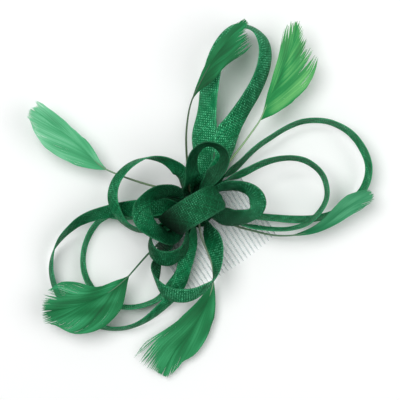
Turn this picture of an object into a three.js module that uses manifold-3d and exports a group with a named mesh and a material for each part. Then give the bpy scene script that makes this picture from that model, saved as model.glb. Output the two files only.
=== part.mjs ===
// Fascinator headpiece: looped straw-cloth strips and stripped-quill feathers,
// bound into a core that is sewn to the spine of a plastic side comb.
// Units: millimetres, +Z up. Origin: centre of the comb spine's flat underside.
// X runs along the spine, the teeth point along -Y, and the loops rise along +Z.
import * as THREE from 'three';
import { mergeVertices } from 'three/addons/utils/BufferGeometryUtils.js';
import Module from 'manifold-3d';

// ---- driving dimensions -------------------------------------------------
const COMB_LENGTH = 73;        // along the spine
const SPINE_DEPTH = 8;         // spine, across
const SPINE_HEIGHT = 3.1;      // spine, thickness
const TOOTH_COUNT = 24;
const TOOTH_PITCH = COMB_LENGTH / TOOTH_COUNT;
const TOOTH_LENGTH = 45;       // longest teeth, from the spine's edge
const TOOTH_ROOT = 1.5;        // tooth width at the spine
const TOOTH_TIP = 0.9;         // tooth width at the tip
const TOOTH_LIFT = 0.8;        // height of the teeth's gentle arch
const RELIEF_DEPTH = 1.1;      // thread relief under the spine
const RELIEF_WIDTH = 1.3;
const PAD_RX = 16, PAD_RY = 8.5, PAD_Y = -0.5; // felt pad, oval
const PAD_Z0 = 3.4, PAD_Z1 = 4.6;
const THREAD = 0.7;            // sewing thread bundle
const GAP = 0.3;               // clearance between touching pieces
const CORE_Z0 = 4.95, CORE_Z1 = 27.55;         // bound core
const STRIP_THICKNESS = 1.0;   // double-folded bias strip
const QUILL_RADIUS = 0.8;
const VANE_EDGE = 0.3;         // half thickness at the edge of a vane
const VANE_MIDDLE = 0.6;       // half thickness at the shaft of a vane

const GREEN_STRIP = 0x1c6b43, GREEN_FEATHER = 0x4f9e6e;

// ---- stations ------------------------------------------------------------
// One loop is one strip swept through its stations.
// Each station: centre x, y, z, then the vector across the strip, whose
// length is the strip's width there. Strips narrow where the core grips them.
const LOOPS = {
  loop_top_large: { width: 15, stations: [
    [3.63,8.56,9,-0.52,-0.39,5.96],[7.21,11.26,9.49,-1.91,1.51,7.56],[12.06,11.81,10.48,-3.63,4.89,8.7],
    [16.15,14.3,11.5,-8.79,7.62,4.95],[18.84,18.4,12.37,-10.29,7.81,-5.28],[21.5,22.53,13.25,-8.35,8.09,-9.48],
    [24.49,26.4,14.21,-8.42,8.63,-8.92],[27.53,30.27,15.04,-9.34,8.63,-7.95],[30.54,34.21,15.59,-9.6,8.4,-7.89],
    [33.58,38.14,16.07,-9.36,8.44,-8.13],[36.67,42.01,16.62,-8.94,8.45,-8.58],[39.79,45.86,17.2,-8.61,8.29,-9.07],
    [42.89,49.73,17.77,-8.53,8.18,-9.24],[45.96,53.62,18.36,-8.62,8.25,-9.09],[49.09,57.46,18.9,-8.61,8.37,-8.99],
    [52.33,61.23,19.36,-8.37,8.45,-9.14],[55.68,64.91,19.75,-7.87,8.64,-9.4],[59.23,68.38,20.15,-7.2,8.98,-9.62],
    [62.99,71.64,20.57,-6.57,9.3,-9.76],[66.94,74.66,20.96,-5.88,9.47,-10.04],[71.1,77.39,21.25,-4.87,9.4,-10.62],
    [75.5,79.72,21.51,-3.46,9.1,-11.41],[80.13,81.55,21.83,-1.77,8.58,-12.17],[85.02,82.4,22.01,0.32,7.32,-13.09],
    [89.86,81.44,22,2.38,4.79,-14.01],[93.54,78.14,22,2.56,2.02,-14.64],[95.91,73.78,22,4.09,1.37,-14.37],
    [96.65,68.87,22,6.57,0.51,-13.48],[96.08,63.93,21.72,8.22,-1.29,-12.48],[94.18,59.35,21.35,8.27,-3.62,-11.98],
    [91.28,55.31,21.01,7.79,-4.93,-11.83],[87.9,51.71,20.41,7.4,-5.79,-11.69],[84.13,48.48,19.87,6.53,-6.76,-11.69],
    [80.08,45.58,19.58,5.7,-7.45,-11.7],[75.84,42.97,19.35,5.33,-8.06,-11.47],[71.47,40.59,19.09,5.26,-8.62,-11.09],
    [66.99,38.42,18.68,5.29,-8.95,-10.82],[62.46,36.4,18.15,5.35,-9.15,-10.61],[57.95,34.34,17.64,5.48,-9.39,-10.33],
    [53.45,32.24,17.15,5.49,-9.74,-10],[48.91,30.21,16.7,5.87,-9.99,-9.53],[44.51,27.95,16.14,8.1,-8.87,-8.98],
    [40.96,24.66,15.02,10.01,-6.1,-9.36],[37.93,20.93,13.67,9.36,-5.07,-10.57],[34.41,17.57,12.62,7.37,-5.69,-10.98],
    [30.45,14.62,11.92,5.64,-5.95,-10.15],[26.23,12.03,11.32,4.41,-5.74,-9.18],[21.74,9.96,10.65,3.12,-4.81,-8.53],
    [17.03,8.5,9.94,2.03,-2.94,-8.05],[12.26,7.17,9.28,1.01,-0.74,-7.23],[7.8,5.06,9,0.31,0.15,-5.99],
  ] },
  loop_left_upper: { width: 11, stations: [
    [-0.65,9.28,16,-0.28,-1.37,5.83],[0.3,13.89,17.13,-0.16,-3.03,7.02],[2.55,17.64,19.68,1.43,-6.28,7.28],
    [4.2,21.31,22.77,8.34,-4.88,4.57],[4.22,25.68,25.22,8.78,-1.38,6.48],[2.76,30.32,26.64,6.92,0.5,8.53],
    [0.33,34.59,27.85,5.17,1.47,9.59],[-3.06,38.29,28.56,3.17,1.8,10.38],[-7.1,41.32,28.96,1.26,1.21,10.86],
    [-11.75,43.33,29.01,-0.47,-1.64,10.87],[-16.72,44.34,29,-0.34,-3.36,10.47],[-21.79,44.33,29,0.38,-4.35,10.1],
    [-26.79,43.47,29,1.27,-5.05,9.69],[-31.59,41.85,29,2.52,-5.44,9.22],[-35.93,39.24,29.01,3.95,-5.1,8.91],
    [-39.57,35.72,29.02,4.92,-4.71,8.64],[-42.28,31.49,28.4,5.46,-4.8,8.26],[-43.9,26.97,26.8,5.76,-4.98,7.94],
    [-44.61,22.53,24.47,5.68,-4.85,8.07],[-44.49,18.15,21.91,5.1,-4.38,8.71],[-43.59,13.79,19.48,4.54,-3.37,9.44],
    [-41.6,9.6,17.47,4.51,-1.43,9.93],[-38.43,5.94,16,4.41,1.39,9.98],[-34.2,3.34,15.08,2.93,3.03,9.83],
    [-29.4,1.77,14.6,1.13,2.82,9.69],[-24.38,1.06,14.59,-0.19,2.04,9.17],[-19.32,0.98,14.99,-0.89,1.16,8.44],
    [-14.29,1.14,15.64,-0.73,0.37,7.23],[-9.25,0.97,16,-0.42,0.01,5.99],
  ] },
  loop_left_large: { width: 11, stations: [
    [-7.43,5.6,17,0.3,-0.13,5.99],[-11.93,7.5,17.27,2.37,4.86,7.24],[-16.56,9.37,17.45,3.52,7.19,5.64],
    [-20.96,11.73,17.5,4.71,8.07,4.8],[-25.21,14.37,17.53,5.41,8.4,3.74],[-29.37,17.14,17.53,5.66,8.77,2.88],
    [-33.61,19.8,17.49,5.32,9.24,2.65],[-38.01,22.16,17.37,4.62,9.24,3.78],[-42.52,24.32,17.37,4.18,8.63,5.39],
    [-47.08,26.35,17.68,3.59,8.13,6.48],[-51.75,28.14,17.68,2.45,7.94,7.21],[-56.46,29.73,17.15,1.19,7.89,7.58],
    [-61.17,31.03,16.14,-0.21,7.61,7.94],[-65.96,31.79,14.93,-1.16,6.6,8.72],[-70.86,32.12,14.03,-1.41,5.42,9.47],
    [-75.81,31.59,13.58,-1.44,4.11,10.1],[-80.72,30.75,13.18,-1.82,3.13,10.39],[-85.48,29.37,12.55,-2.41,2.14,10.52],
    [-89.97,27.31,11.77,-2.16,0.18,10.78],[-94.12,24.67,10.89,-0.8,-2.76,10.62],[-97.77,21.49,9.66,0.26,-3.85,10.3],
    [-100.96,17.83,8.51,1.57,-3.85,10.19],[-103.54,13.65,7.59,2.85,-3.27,10.11],[-105.44,9.07,6.94,3.73,-2.49,10.04],
    [-106.8,4.29,6.48,4.02,-1.66,10.1],[-107.56,-0.64,6.19,4.18,-0.85,10.14],[-107.73,-5.64,6.03,4.34,-0.06,10.11],
    [-107.23,-10.61,5.98,4.36,0.7,10.07],[-106.07,-15.47,6,4.27,1.33,10.05],[-104.3,-20.14,6,4.16,1.83,10.02],
    [-102.05,-24.61,6,3.92,2.2,10.04],[-99.41,-28.85,6,3.46,2.39,10.16],[-96.37,-32.82,6,2.91,2.47,10.32],
    [-92.93,-36.45,5.99,2.26,2.53,10.46],[-89.04,-39.58,6.04,1.52,2.76,10.54],[-84.71,-42.07,6.28,0.63,3.11,10.53],
    [-80.12,-43.97,6.8,-0.28,3.21,10.52],[-75.33,-45.21,7.49,-0.86,3.35,10.44],[-70.42,-45.8,8.19,-1.19,3.77,10.27],
    [-65.47,-45.82,8.86,-1.7,4.42,9.93],[-60.56,-45.4,9.7,-2.3,5.13,9.46],[-55.69,-44.7,10.63,-2.62,5.63,9.08],
    [-50.85,-43.84,11.54,-3.08,5.68,8.9],[-46.12,-42.66,12.65,-3.96,6.05,8.29],[-41.57,-41.03,13.92,-4.95,6.56,7.31],
    [-37.31,-38.69,15.05,-5.76,6.63,6.63],[-33.32,-35.79,15.85,-6.29,6.78,5.95],[-29.55,-32.52,16.21,-6.54,7.11,5.27],
    [-25.81,-29.2,16.28,-6.53,7.52,4.67],[-22.04,-25.92,16.11,-6.46,7.77,4.35],[-18.26,-22.66,15.8,-5.73,7.1,4.93],
    [-14.51,-19.38,15.43,-4.5,5.08,6.19],[-11.03,-15.79,15.41,-3.23,2.51,6.97],[-7.92,-11.89,15.79,-1.24,0.42,6.97],
    [-5.07,-7.8,16,-0.14,-0.2,5.99],
  ] },
  loop_left_inner: { width: 11, stations: [
    [-8.56,3.63,9,0.29,-0.1,5.99],[-13.33,5.23,9.26,0.08,-0.61,6.71],[-18.15,6.7,9.4,-0.4,-0.88,7.11],
    [-22.88,8.44,9.11,-0.99,-0.73,7.63],[-27.53,10.33,8.52,-1.55,-0.83,8.5],[-32.11,12.32,7.81,-1.9,-1.04,9.39],
    [-36.62,14.5,7.15,-2.07,-1.3,10.3],[-40.96,17.01,6.63,-2.17,-1.72,10.44],[-45.16,19.79,6.24,-2.11,-2.14,10.37],
    [-49.41,22.51,6.04,-0.88,-0.99,10.78],[-53.9,24.8,5.99,0.5,2.16,10.76],[-58.88,25.29,5.92,-0.29,3.11,10.55],
    [-63.73,23.96,5.97,-1.05,3.07,10.51],[-68.29,21.79,6,-1.56,2.84,10.51],[-72.5,19.01,6,-1.79,2.38,10.59],
    [-76.33,15.73,6,-1.95,2,10.64],[-79.7,11.98,6,-2.15,1.66,10.66],[-82.49,7.77,6,-2.39,1.33,10.65],
    [-84.6,3.19,6,-2.71,1.01,10.61],[-85.99,-1.66,6,-3.05,0.59,10.55],[-86.52,-6.67,6,-3.12,0.12,10.55],
    [-86.37,-11.72,6,-3.03,-0.24,10.57],[-85.72,-16.72,6,-2.91,-0.71,10.59],[-84.01,-21.45,6,-2.52,-1.26,10.63],
    [-81.26,-25.67,6,-2.03,-1.62,10.69],[-77.74,-29.29,6,-1.63,-1.83,10.72],[-73.75,-32.37,6,-1.33,-1.99,10.74],
    [-69.38,-34.89,6,-1.04,-2.14,10.74],[-64.71,-36.8,5.99,-0.74,-2.29,10.73],[-59.83,-38.08,5.98,-0.82,-2.37,10.71],
    [-54.84,-38.75,6.31,-1.03,-2.9,10.56],[-49.87,-38.3,6.89,-0.38,-4.07,10.21],[-45.12,-36.69,7.5,0.38,-5.34,9.61],
    [-40.28,-35.43,8.11,0.63,-6.19,9.07],[-35.46,-34.02,8.64,1.71,-6.51,8.7],[-30.92,-31.84,8.96,3.03,-6.28,8.51],
    [-26.66,-29.15,9.1,3.96,-5.66,8.56],[-22.73,-25.98,9.05,4.41,-4.76,8.88],[-19.12,-22.45,8.95,4.44,-3.98,8.56],
    [-15.77,-18.67,8.84,4.14,-3.45,7.56],[-12.53,-14.81,8.83,3.09,-2.64,7.09],[-9.35,-10.89,8.94,0.98,-0.97,6.99],
    [-6.1,-7.02,9,-0.05,-0.06,6],
  ] },
  loop_right_large: { width: 11, stations: [
    [9.06,2.09,9,0.01,0,6],[13.99,3.13,8.99,0.19,-0.9,6.96],[18.95,4.01,8.98,0.38,-2.56,7.43],
    [23.94,4.7,9.02,0.11,-2.21,8.51],[28.96,5.14,9.14,-0.52,1.98,9.81],[33.97,5.65,9.37,-1.16,4.72,9.87],
    [38.94,6.39,9.72,-1.5,4.04,10.12],[43.87,7.31,10.17,-1.69,3.18,10.39],[48.76,8.38,10.7,-1.83,3.15,10.38],
    [53.69,9.23,11.32,-1.69,3.21,10.38],[58.67,9.73,11.89,-0.96,3.2,10.48],[63.7,9.86,12.04,-0.15,3.13,10.55],
    [68.74,9.86,12,0.05,3.03,10.57],[73.78,9.85,12,0.09,2.96,10.59],[78.81,9.56,12,0.28,2.95,10.59],
    [83.8,8.92,12,0.52,2.94,10.59],[88.71,7.8,12,0.9,2.83,10.59],[93.37,5.89,12,1.29,2.62,10.6],
    [97.73,3.38,12,1.57,2.4,10.62],[101.78,0.39,12,1.86,2.17,10.62],[105.36,-3.15,12,2.23,1.89,10.6],
    [108.28,-7.25,12,2.57,1.63,10.57],[110.73,-11.65,12,2.98,1.39,10.5],[112.52,-16.35,12,3.41,0.98,10.41],
    [113.49,-21.29,12,3.7,0.48,10.35],[113.8,-26.32,12,3.78,0.02,10.33],[113.52,-31.34,12.01,3.89,-0.72,10.26],
    [112.59,-36.28,11.76,3.57,-1.75,10.25],[110.85,-40.98,11.3,2.85,-2.72,10.27],
    [108.11,-45.15,10.65,2.02,-3.62,10.19],[104.6,-48.64,9.81,1.36,-4.16,10.09],[100.5,-51.46,9.07,0.78,-4.46,10.03],
    [95.9,-53.37,8.39,0.08,-4.45,10.06],[91.02,-54.49,7.81,-0.33,-4.27,10.13],[86.03,-54.98,7.38,-0.47,-4.04,10.22],
    [81,-55.07,7.12,-0.45,-3.96,10.25],[75.97,-54.76,7.02,-0.67,-3.98,10.23],[71.04,-53.77,6.97,-1.09,-3.9,10.23],
    [66.28,-52.12,7,-1.26,-3.87,10.22],[61.67,-50.1,7.2,-1.33,-4.12,10.11],[57.21,-47.79,7.56,-1.53,-4.43,9.95],
    [52.91,-45.2,8.03,-1.78,-4.6,9.83],[48.79,-42.37,8.57,-2.02,-4.56,9.81],[44.79,-39.34,9.08,-2.25,-4.22,9.91],
    [40.83,-36.24,9.38,-2.43,-3.74,10.05],[36.89,-33.1,9.5,-2.48,-3.41,10.16],[32.92,-30,9.54,-2.69,-3.34,10.13],
    [29.04,-26.79,9.49,-2.75,-2.81,10.27],[25.37,-23.34,9.34,-1.49,-1,10.15],[21.81,-19.78,9.13,0.6,1.08,9.5],
    [18.16,-16.31,8.99,1.67,2.03,8.41],[14.38,-12.99,8.97,1.33,1.54,7.66],[10.55,-9.71,8.99,0.46,0.49,7.01],
    [6.8,-6.34,9,0.01,-0.01,6],
  ] },
  loop_right_inner: { width: 11, stations: [
    [9.3,0.16,16,-0.51,-0.05,5.98],[14.18,0.62,16.42,-0.88,-0.98,6.85],[18.94,1.48,17.43,-1.37,-2.62,7.15],
    [23.69,1.87,18.7,-2.38,-2.31,7.92],[28.36,1.57,20.29,-2.77,1.36,9.15],[33.07,0.99,21.67,-1.35,4.52,9.65],
    [37.94,0.38,22.18,0.33,4.88,9.85],[42.84,-0.24,21.96,1.26,4.26,10.06],[47.73,-0.75,21.43,1.49,4.08,10.11],
    [52.6,-1.46,21.01,1.24,3.96,10.19],[57.4,-2.63,20.99,1.09,3.7,10.3],[62.07,-4.23,21,1.29,3.23,10.44],
    [66.54,-6.34,21,1.53,2.81,10.52],[70.73,-8.95,21,1.83,2.54,10.54],[74.53,-12.11,21,2.25,2.19,10.54],
    [77.59,-15.98,21,2.69,1.67,10.53],[79.71,-20.43,21,2.85,1.07,10.57],[81.04,-25.19,21,2.73,0.44,10.65],
    [81.26,-30.11,21,2.78,-0.24,10.64],[80.18,-34.92,21,2.59,-0.86,10.66],[78.17,-39.43,21,2.06,-1.23,10.73],
    [75.15,-43.32,21,1.59,-1.67,10.76],[71.11,-46.14,21,1.18,-2.1,10.73],[66.58,-48.1,21.01,0.77,-2.51,10.68],
    [61.78,-49.29,20.93,-0.07,-2.69,10.67],[56.89,-49.82,20.51,-0.94,-2.78,10.6],
    [52.01,-49.26,20.07,-1.38,-2.45,10.63],[47.28,-47.9,19.71,-1.56,-1.95,10.71],
    [42.77,-45.92,19.34,-1.77,-1.6,10.74],[38.54,-43.39,18.94,-1.99,-1.53,10.71],[34.52,-40.53,18.57,-2.1,-1.46,10.7],
    [30.66,-37.47,18.2,-2.23,-1.43,10.68],[26.92,-34.26,17.82,-2.51,-1.57,10.59],
    [23.29,-30.92,17.42,-2.41,-1.29,10.59],[19.74,-27.52,17,-1,0.2,10.49],[16.3,-23.98,16.62,0.63,1.46,10.02],
    [13.12,-20.21,16.36,1.21,1.49,9.11],[10.14,-16.27,16.18,0.87,0.95,8.12],[7.28,-12.24,16.05,0.25,0.32,7.12],
    [4.65,-8.05,16,-0.03,0.05,6],
  ] },
  loop_right_small: { width: 15, stations: [
    [8.89,-2.72,23.3,-0.9,-0.16,5.93],[12.49,-2.08,23.86,-1.85,-0.67,6.73],[15.58,0.13,25.42,-3.65,-0.2,7.23],
    [19.21,0.32,27.32,-4.18,4.33,8.76],[22.81,-0.5,29.18,-3.36,6.93,10.66],[26.3,-1.82,30.95,-1.91,8.34,12.32],
    [29.57,-3.83,32.48,0.49,7.88,12.75],[32.56,-6.46,33.57,2.97,6.63,12.59],[35.11,-9.64,34.24,5.77,5.05,10.97],
    [36.84,-13.37,34.5,8.76,2.23,8.16],[37.07,-17.46,34.27,9.81,-2.11,5.57],[35.69,-21.26,33.54,9.31,-5.6,0.53],
    [33.08,-24.25,32.5,6.13,-7.06,-5.48],[29.29,-25.2,31.45,2.23,-8.38,-8.54],[25.33,-24.4,30.62,-0.61,-9.26,-10.28],
    [21.53,-22.95,29.88,-2.51,-10.08,-10.83],[17.94,-21.01,29.18,-4.09,-10.2,-10.21],
    [14.51,-18.79,28.54,-5.15,-9.9,-10.02],[11.38,-16.19,27.79,-5.24,-8.4,-9.88],[8.68,-13.2,26.87,-2.62,-7.02,-8.33],
    [5.97,-10.82,24.98,0.45,-4.65,-6.73],[3.78,-8.5,23.3,1.91,-2.03,-5.31],
  ] },
  loop_top_small: { width: 18.5, stations: [
    [0.49,9.29,23.3,-1.21,-2.92,5.1],[1.62,12.03,25.14,-4.65,-3.17,5.32],[3.92,12.93,28.47,-8.61,-0.66,7.05],
    [6.52,14.42,31.34,-10.77,-0.73,11.05],[8.97,16.8,33.65,-10.97,-1.36,14.84],[11.07,20,35.22,-9.12,-0.42,16.09],
    [13.38,23.27,36.32,-7.63,1.45,16.79],[16.25,26.17,37.03,-5.76,3.11,17.3],[19.73,28.35,37.52,-3.71,3.78,17.72],
    [23.71,29.37,37.91,-1.34,3.62,18.09],[27.79,28.86,38.02,0.71,2.69,18.29],[31.25,26.66,38.01,2.14,1.69,18.3],
    [33.66,23.3,37.84,3.9,0.33,18.08],[34.79,19.37,37.38,5.2,-2.13,17.63],[33.79,15.46,36.86,4.22,-5.65,17.1],
    [30.95,12.57,36.08,1.08,-8.26,16.52],[27.49,10.66,34.87,-1.9,-9.28,15.89],[23.75,9.56,33.46,-4.87,-9.91,14.84],
    [20.25,8.95,31.35,-7.12,-10.15,11.61],[17.16,8.62,28.6,-6.31,-8.53,7.98],[14.1,8.32,25.82,-4.22,-5.64,6.47],
    [10.68,7.72,23.59,-2.06,-2.33,6.59],[7.23,5.85,22.8,-1.04,-0.56,5.88],
  ] },
  loop_centre: { width: 18.7, stations: [
    [1.32,-1.14,28.4,-1.1,-8.43,-0.1],[5.42,-1.67,28.78,-1.16,-8.42,-0.2],[9.38,-2.28,29.82,-1.24,-8.61,-0.51],
    [12.93,-2.94,31.84,-1.11,-9.22,-0.84],[15.84,-3.51,34.72,-0.65,-11.3,-0.99],[17.3,-3.78,38.54,-0.01,-14.41,-0.16],
    [16.11,-3.59,42.42,-0.75,-17.62,1.12],[12.96,-3.18,45.07,-1.33,-18.45,0.96],[9.45,-2.86,47.27,-1.12,-18.66,0.61],
    [5.72,-2.62,49.05,-0.98,-18.67,0.37],[1.73,-2.4,50.18,-0.88,-18.68,0.16],[-2.4,-2.22,50.52,-0.64,-18.69,-0.01],
    [-6.51,-2.11,49.99,-0.29,-18.7,-0.06],[-10.46,-2.09,48.75,0.29,-18.69,-0.35],
    [-14.13,-2.17,46.81,1.46,-18.62,-1.02],[-17.29,-2.37,44.14,3.31,-18.33,-1.65],[-19.57,-2.6,40.7,5.61,-17.2,-1.53],
    [-20.63,-2.8,36.71,6.89,-15.48,0.26],[-19.84,-2.86,32.71,4.23,-12.93,2.16],[-16.7,-2.61,30.12,1.63,-11.43,1.06],
    [-12.76,-2.2,28.9,1.12,-9.78,0.15],[-8.66,-1.71,28.51,1.1,-9.1,-0.02],[-4.54,-1.21,28.4,1.04,-8.44,-0.03],
  ] },
  loop_left_small: { width: 15, stations: [
    [-4.51,8.13,23.3,1.71,-2.38,5.24],[-6.39,10.76,25.1,4.58,-3.77,5.15],[-7.51,12.11,28.88,9.45,-3.26,3.92],
    [-8.32,14.03,32.48,11.69,-2.18,5.52],[-9.9,16.25,35.59,11.82,0.99,9.18],[-12.72,18.48,37.66,8.42,4.03,11.74],
    [-16.29,20.27,38.79,4.48,5.83,13.08],[-20.37,20.57,39.35,0.54,6.34,12.15],[-24.41,19.59,39.51,-2.77,7.65,9.1],
    [-28.06,17.62,39.5,-7.05,8.38,6.02],[-30.6,14.37,39.52,-10.95,5.85,4.66],[-31.8,10.4,39.76,-12.58,2.32,5.68],
    [-31.74,6.28,40.29,-11.8,-0.98,8.3],[-30.6,2.3,40.5,-9.28,-4.4,10.64],[-28.99,-1.39,39.52,-6.07,-8.28,10.94],
    [-27.37,-4.42,37.21,-3.51,-11.51,8.95],[-25.84,-6.62,34.03,-2.32,-12.27,5.88],
    [-24.44,-8.22,30.44,-1.19,-11.38,3.7],[-22.64,-9.28,26.85,1.48,-9.83,2.44],[-19.64,-9.06,24.13,4.11,-6.62,3.94],
    [-16.01,-7.26,23.32,2.42,-2.91,6.87],[-12.44,-5.1,23.27,0.44,-0.78,6.9],[-8.68,-3.33,23.3,-0.03,-0.02,6],
  ] },
  loop_left_lower: { width: 15, stations: [
    [-9.19,-1.45,16,0.69,0.09,5.96],[-13.39,-2.01,16.49,1.41,-0.36,6.98],[-17.53,-2.35,17.64,2.04,-1.56,7.98],
    [-21.73,-2.53,18.53,1.94,-2.56,8.87],[-25.95,-2.63,19.4,2.73,-3.04,9.63],[-30,-2.63,20.84,4.96,-1.56,10.81],
    [-33.73,-2.7,22.96,7.44,4,11.32],[-36.58,-4.17,25.71,6.46,6.73,11.75],[-38.08,-7.39,28.05,4.76,4.4,13.53],
    [-38.45,-11.57,28.78,6.77,2.05,13.23],[-37.09,-15.62,28.81,8.57,4.95,11.27],[-34.27,-18.84,28.79,6.83,8.12,10.6],
    [-30.48,-20.78,28.5,4.27,8.67,11.47],[-26.31,-21.22,27.62,2.5,7.56,11.35],[-22.25,-20.46,26.47,0.81,5.73,10.76],
    [-18.7,-18.3,25.49,-0.19,3.62,10.18],[-15.8,-15.21,24.73,-0.18,2.21,9.31],[-13.19,-11.86,24.07,0.09,1.41,8.23],
    [-10.56,-8.5,23.51,0.24,0.64,7.08],[-7.43,-5.6,23.3,0.22,0.21,5.99],
  ] },
  loop_bottom: { width: 15, stations: [
    [-8.29,-4.22,16,-0.3,-0.12,5.99],[-12.85,-6.08,15.73,-0.42,-0.68,7.01],[-17.58,-7.41,15.13,-0.41,-1.88,7.73],
    [-22.32,-8.74,14.58,0.05,-2.99,8.35],[-27.07,-10.11,14.23,0.82,-4.39,9.64],[-31.76,-11.69,14.04,2.04,-5.14,11.25],
    [-36.05,-14.14,14.01,1.85,-2.25,13.54],[-39.78,-17.39,14.19,-2.03,4.4,13.73],
    [-43.24,-20.8,15.08,-2.31,7.86,12.57],[-45.91,-24.25,17.35,-0.4,8.41,12.41],[-47.25,-28.21,19.98,2.15,7.26,12.95],
    [-47.42,-32.58,22.28,4.67,6.58,12.64],[-46.16,-36.96,24.13,5.69,6.8,12.09],[-43.43,-40.95,25.11,6.25,7.24,11.56],
    [-39.77,-44.27,25.26,6.01,7.51,11.51],[-35.6,-46.91,24.91,5.28,7.82,11.66],[-30.99,-48.47,24.1,3.87,7.36,12.49],
    [-26.15,-48.99,23.2,2.7,6.08,13.44],[-21.28,-48.86,22.32,1.59,4.76,14.14],[-16.51,-47.76,21.7,1.3,1,14.91],
    [-12.34,-45.16,21.3,3.33,-1.74,14.52],[-8.99,-41.57,20.72,5.43,-1.88,13.85],[-6.22,-37.54,19.93,7.73,-2.26,12.65],
    [-4.13,-33.11,19.26,9.88,-2.42,11.02],[-2.48,-28.49,18.56,11.55,-1.84,9.39],[-1.45,-23.71,17.81,11.17,-0.39,9.11],
    [-0.91,-18.85,17.05,6.88,0.27,10.01],[0.34,-14.11,16.32,2.12,0.52,8.19],[0.81,-9.26,16,0.04,0.39,5.99],
  ] },
};

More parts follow.
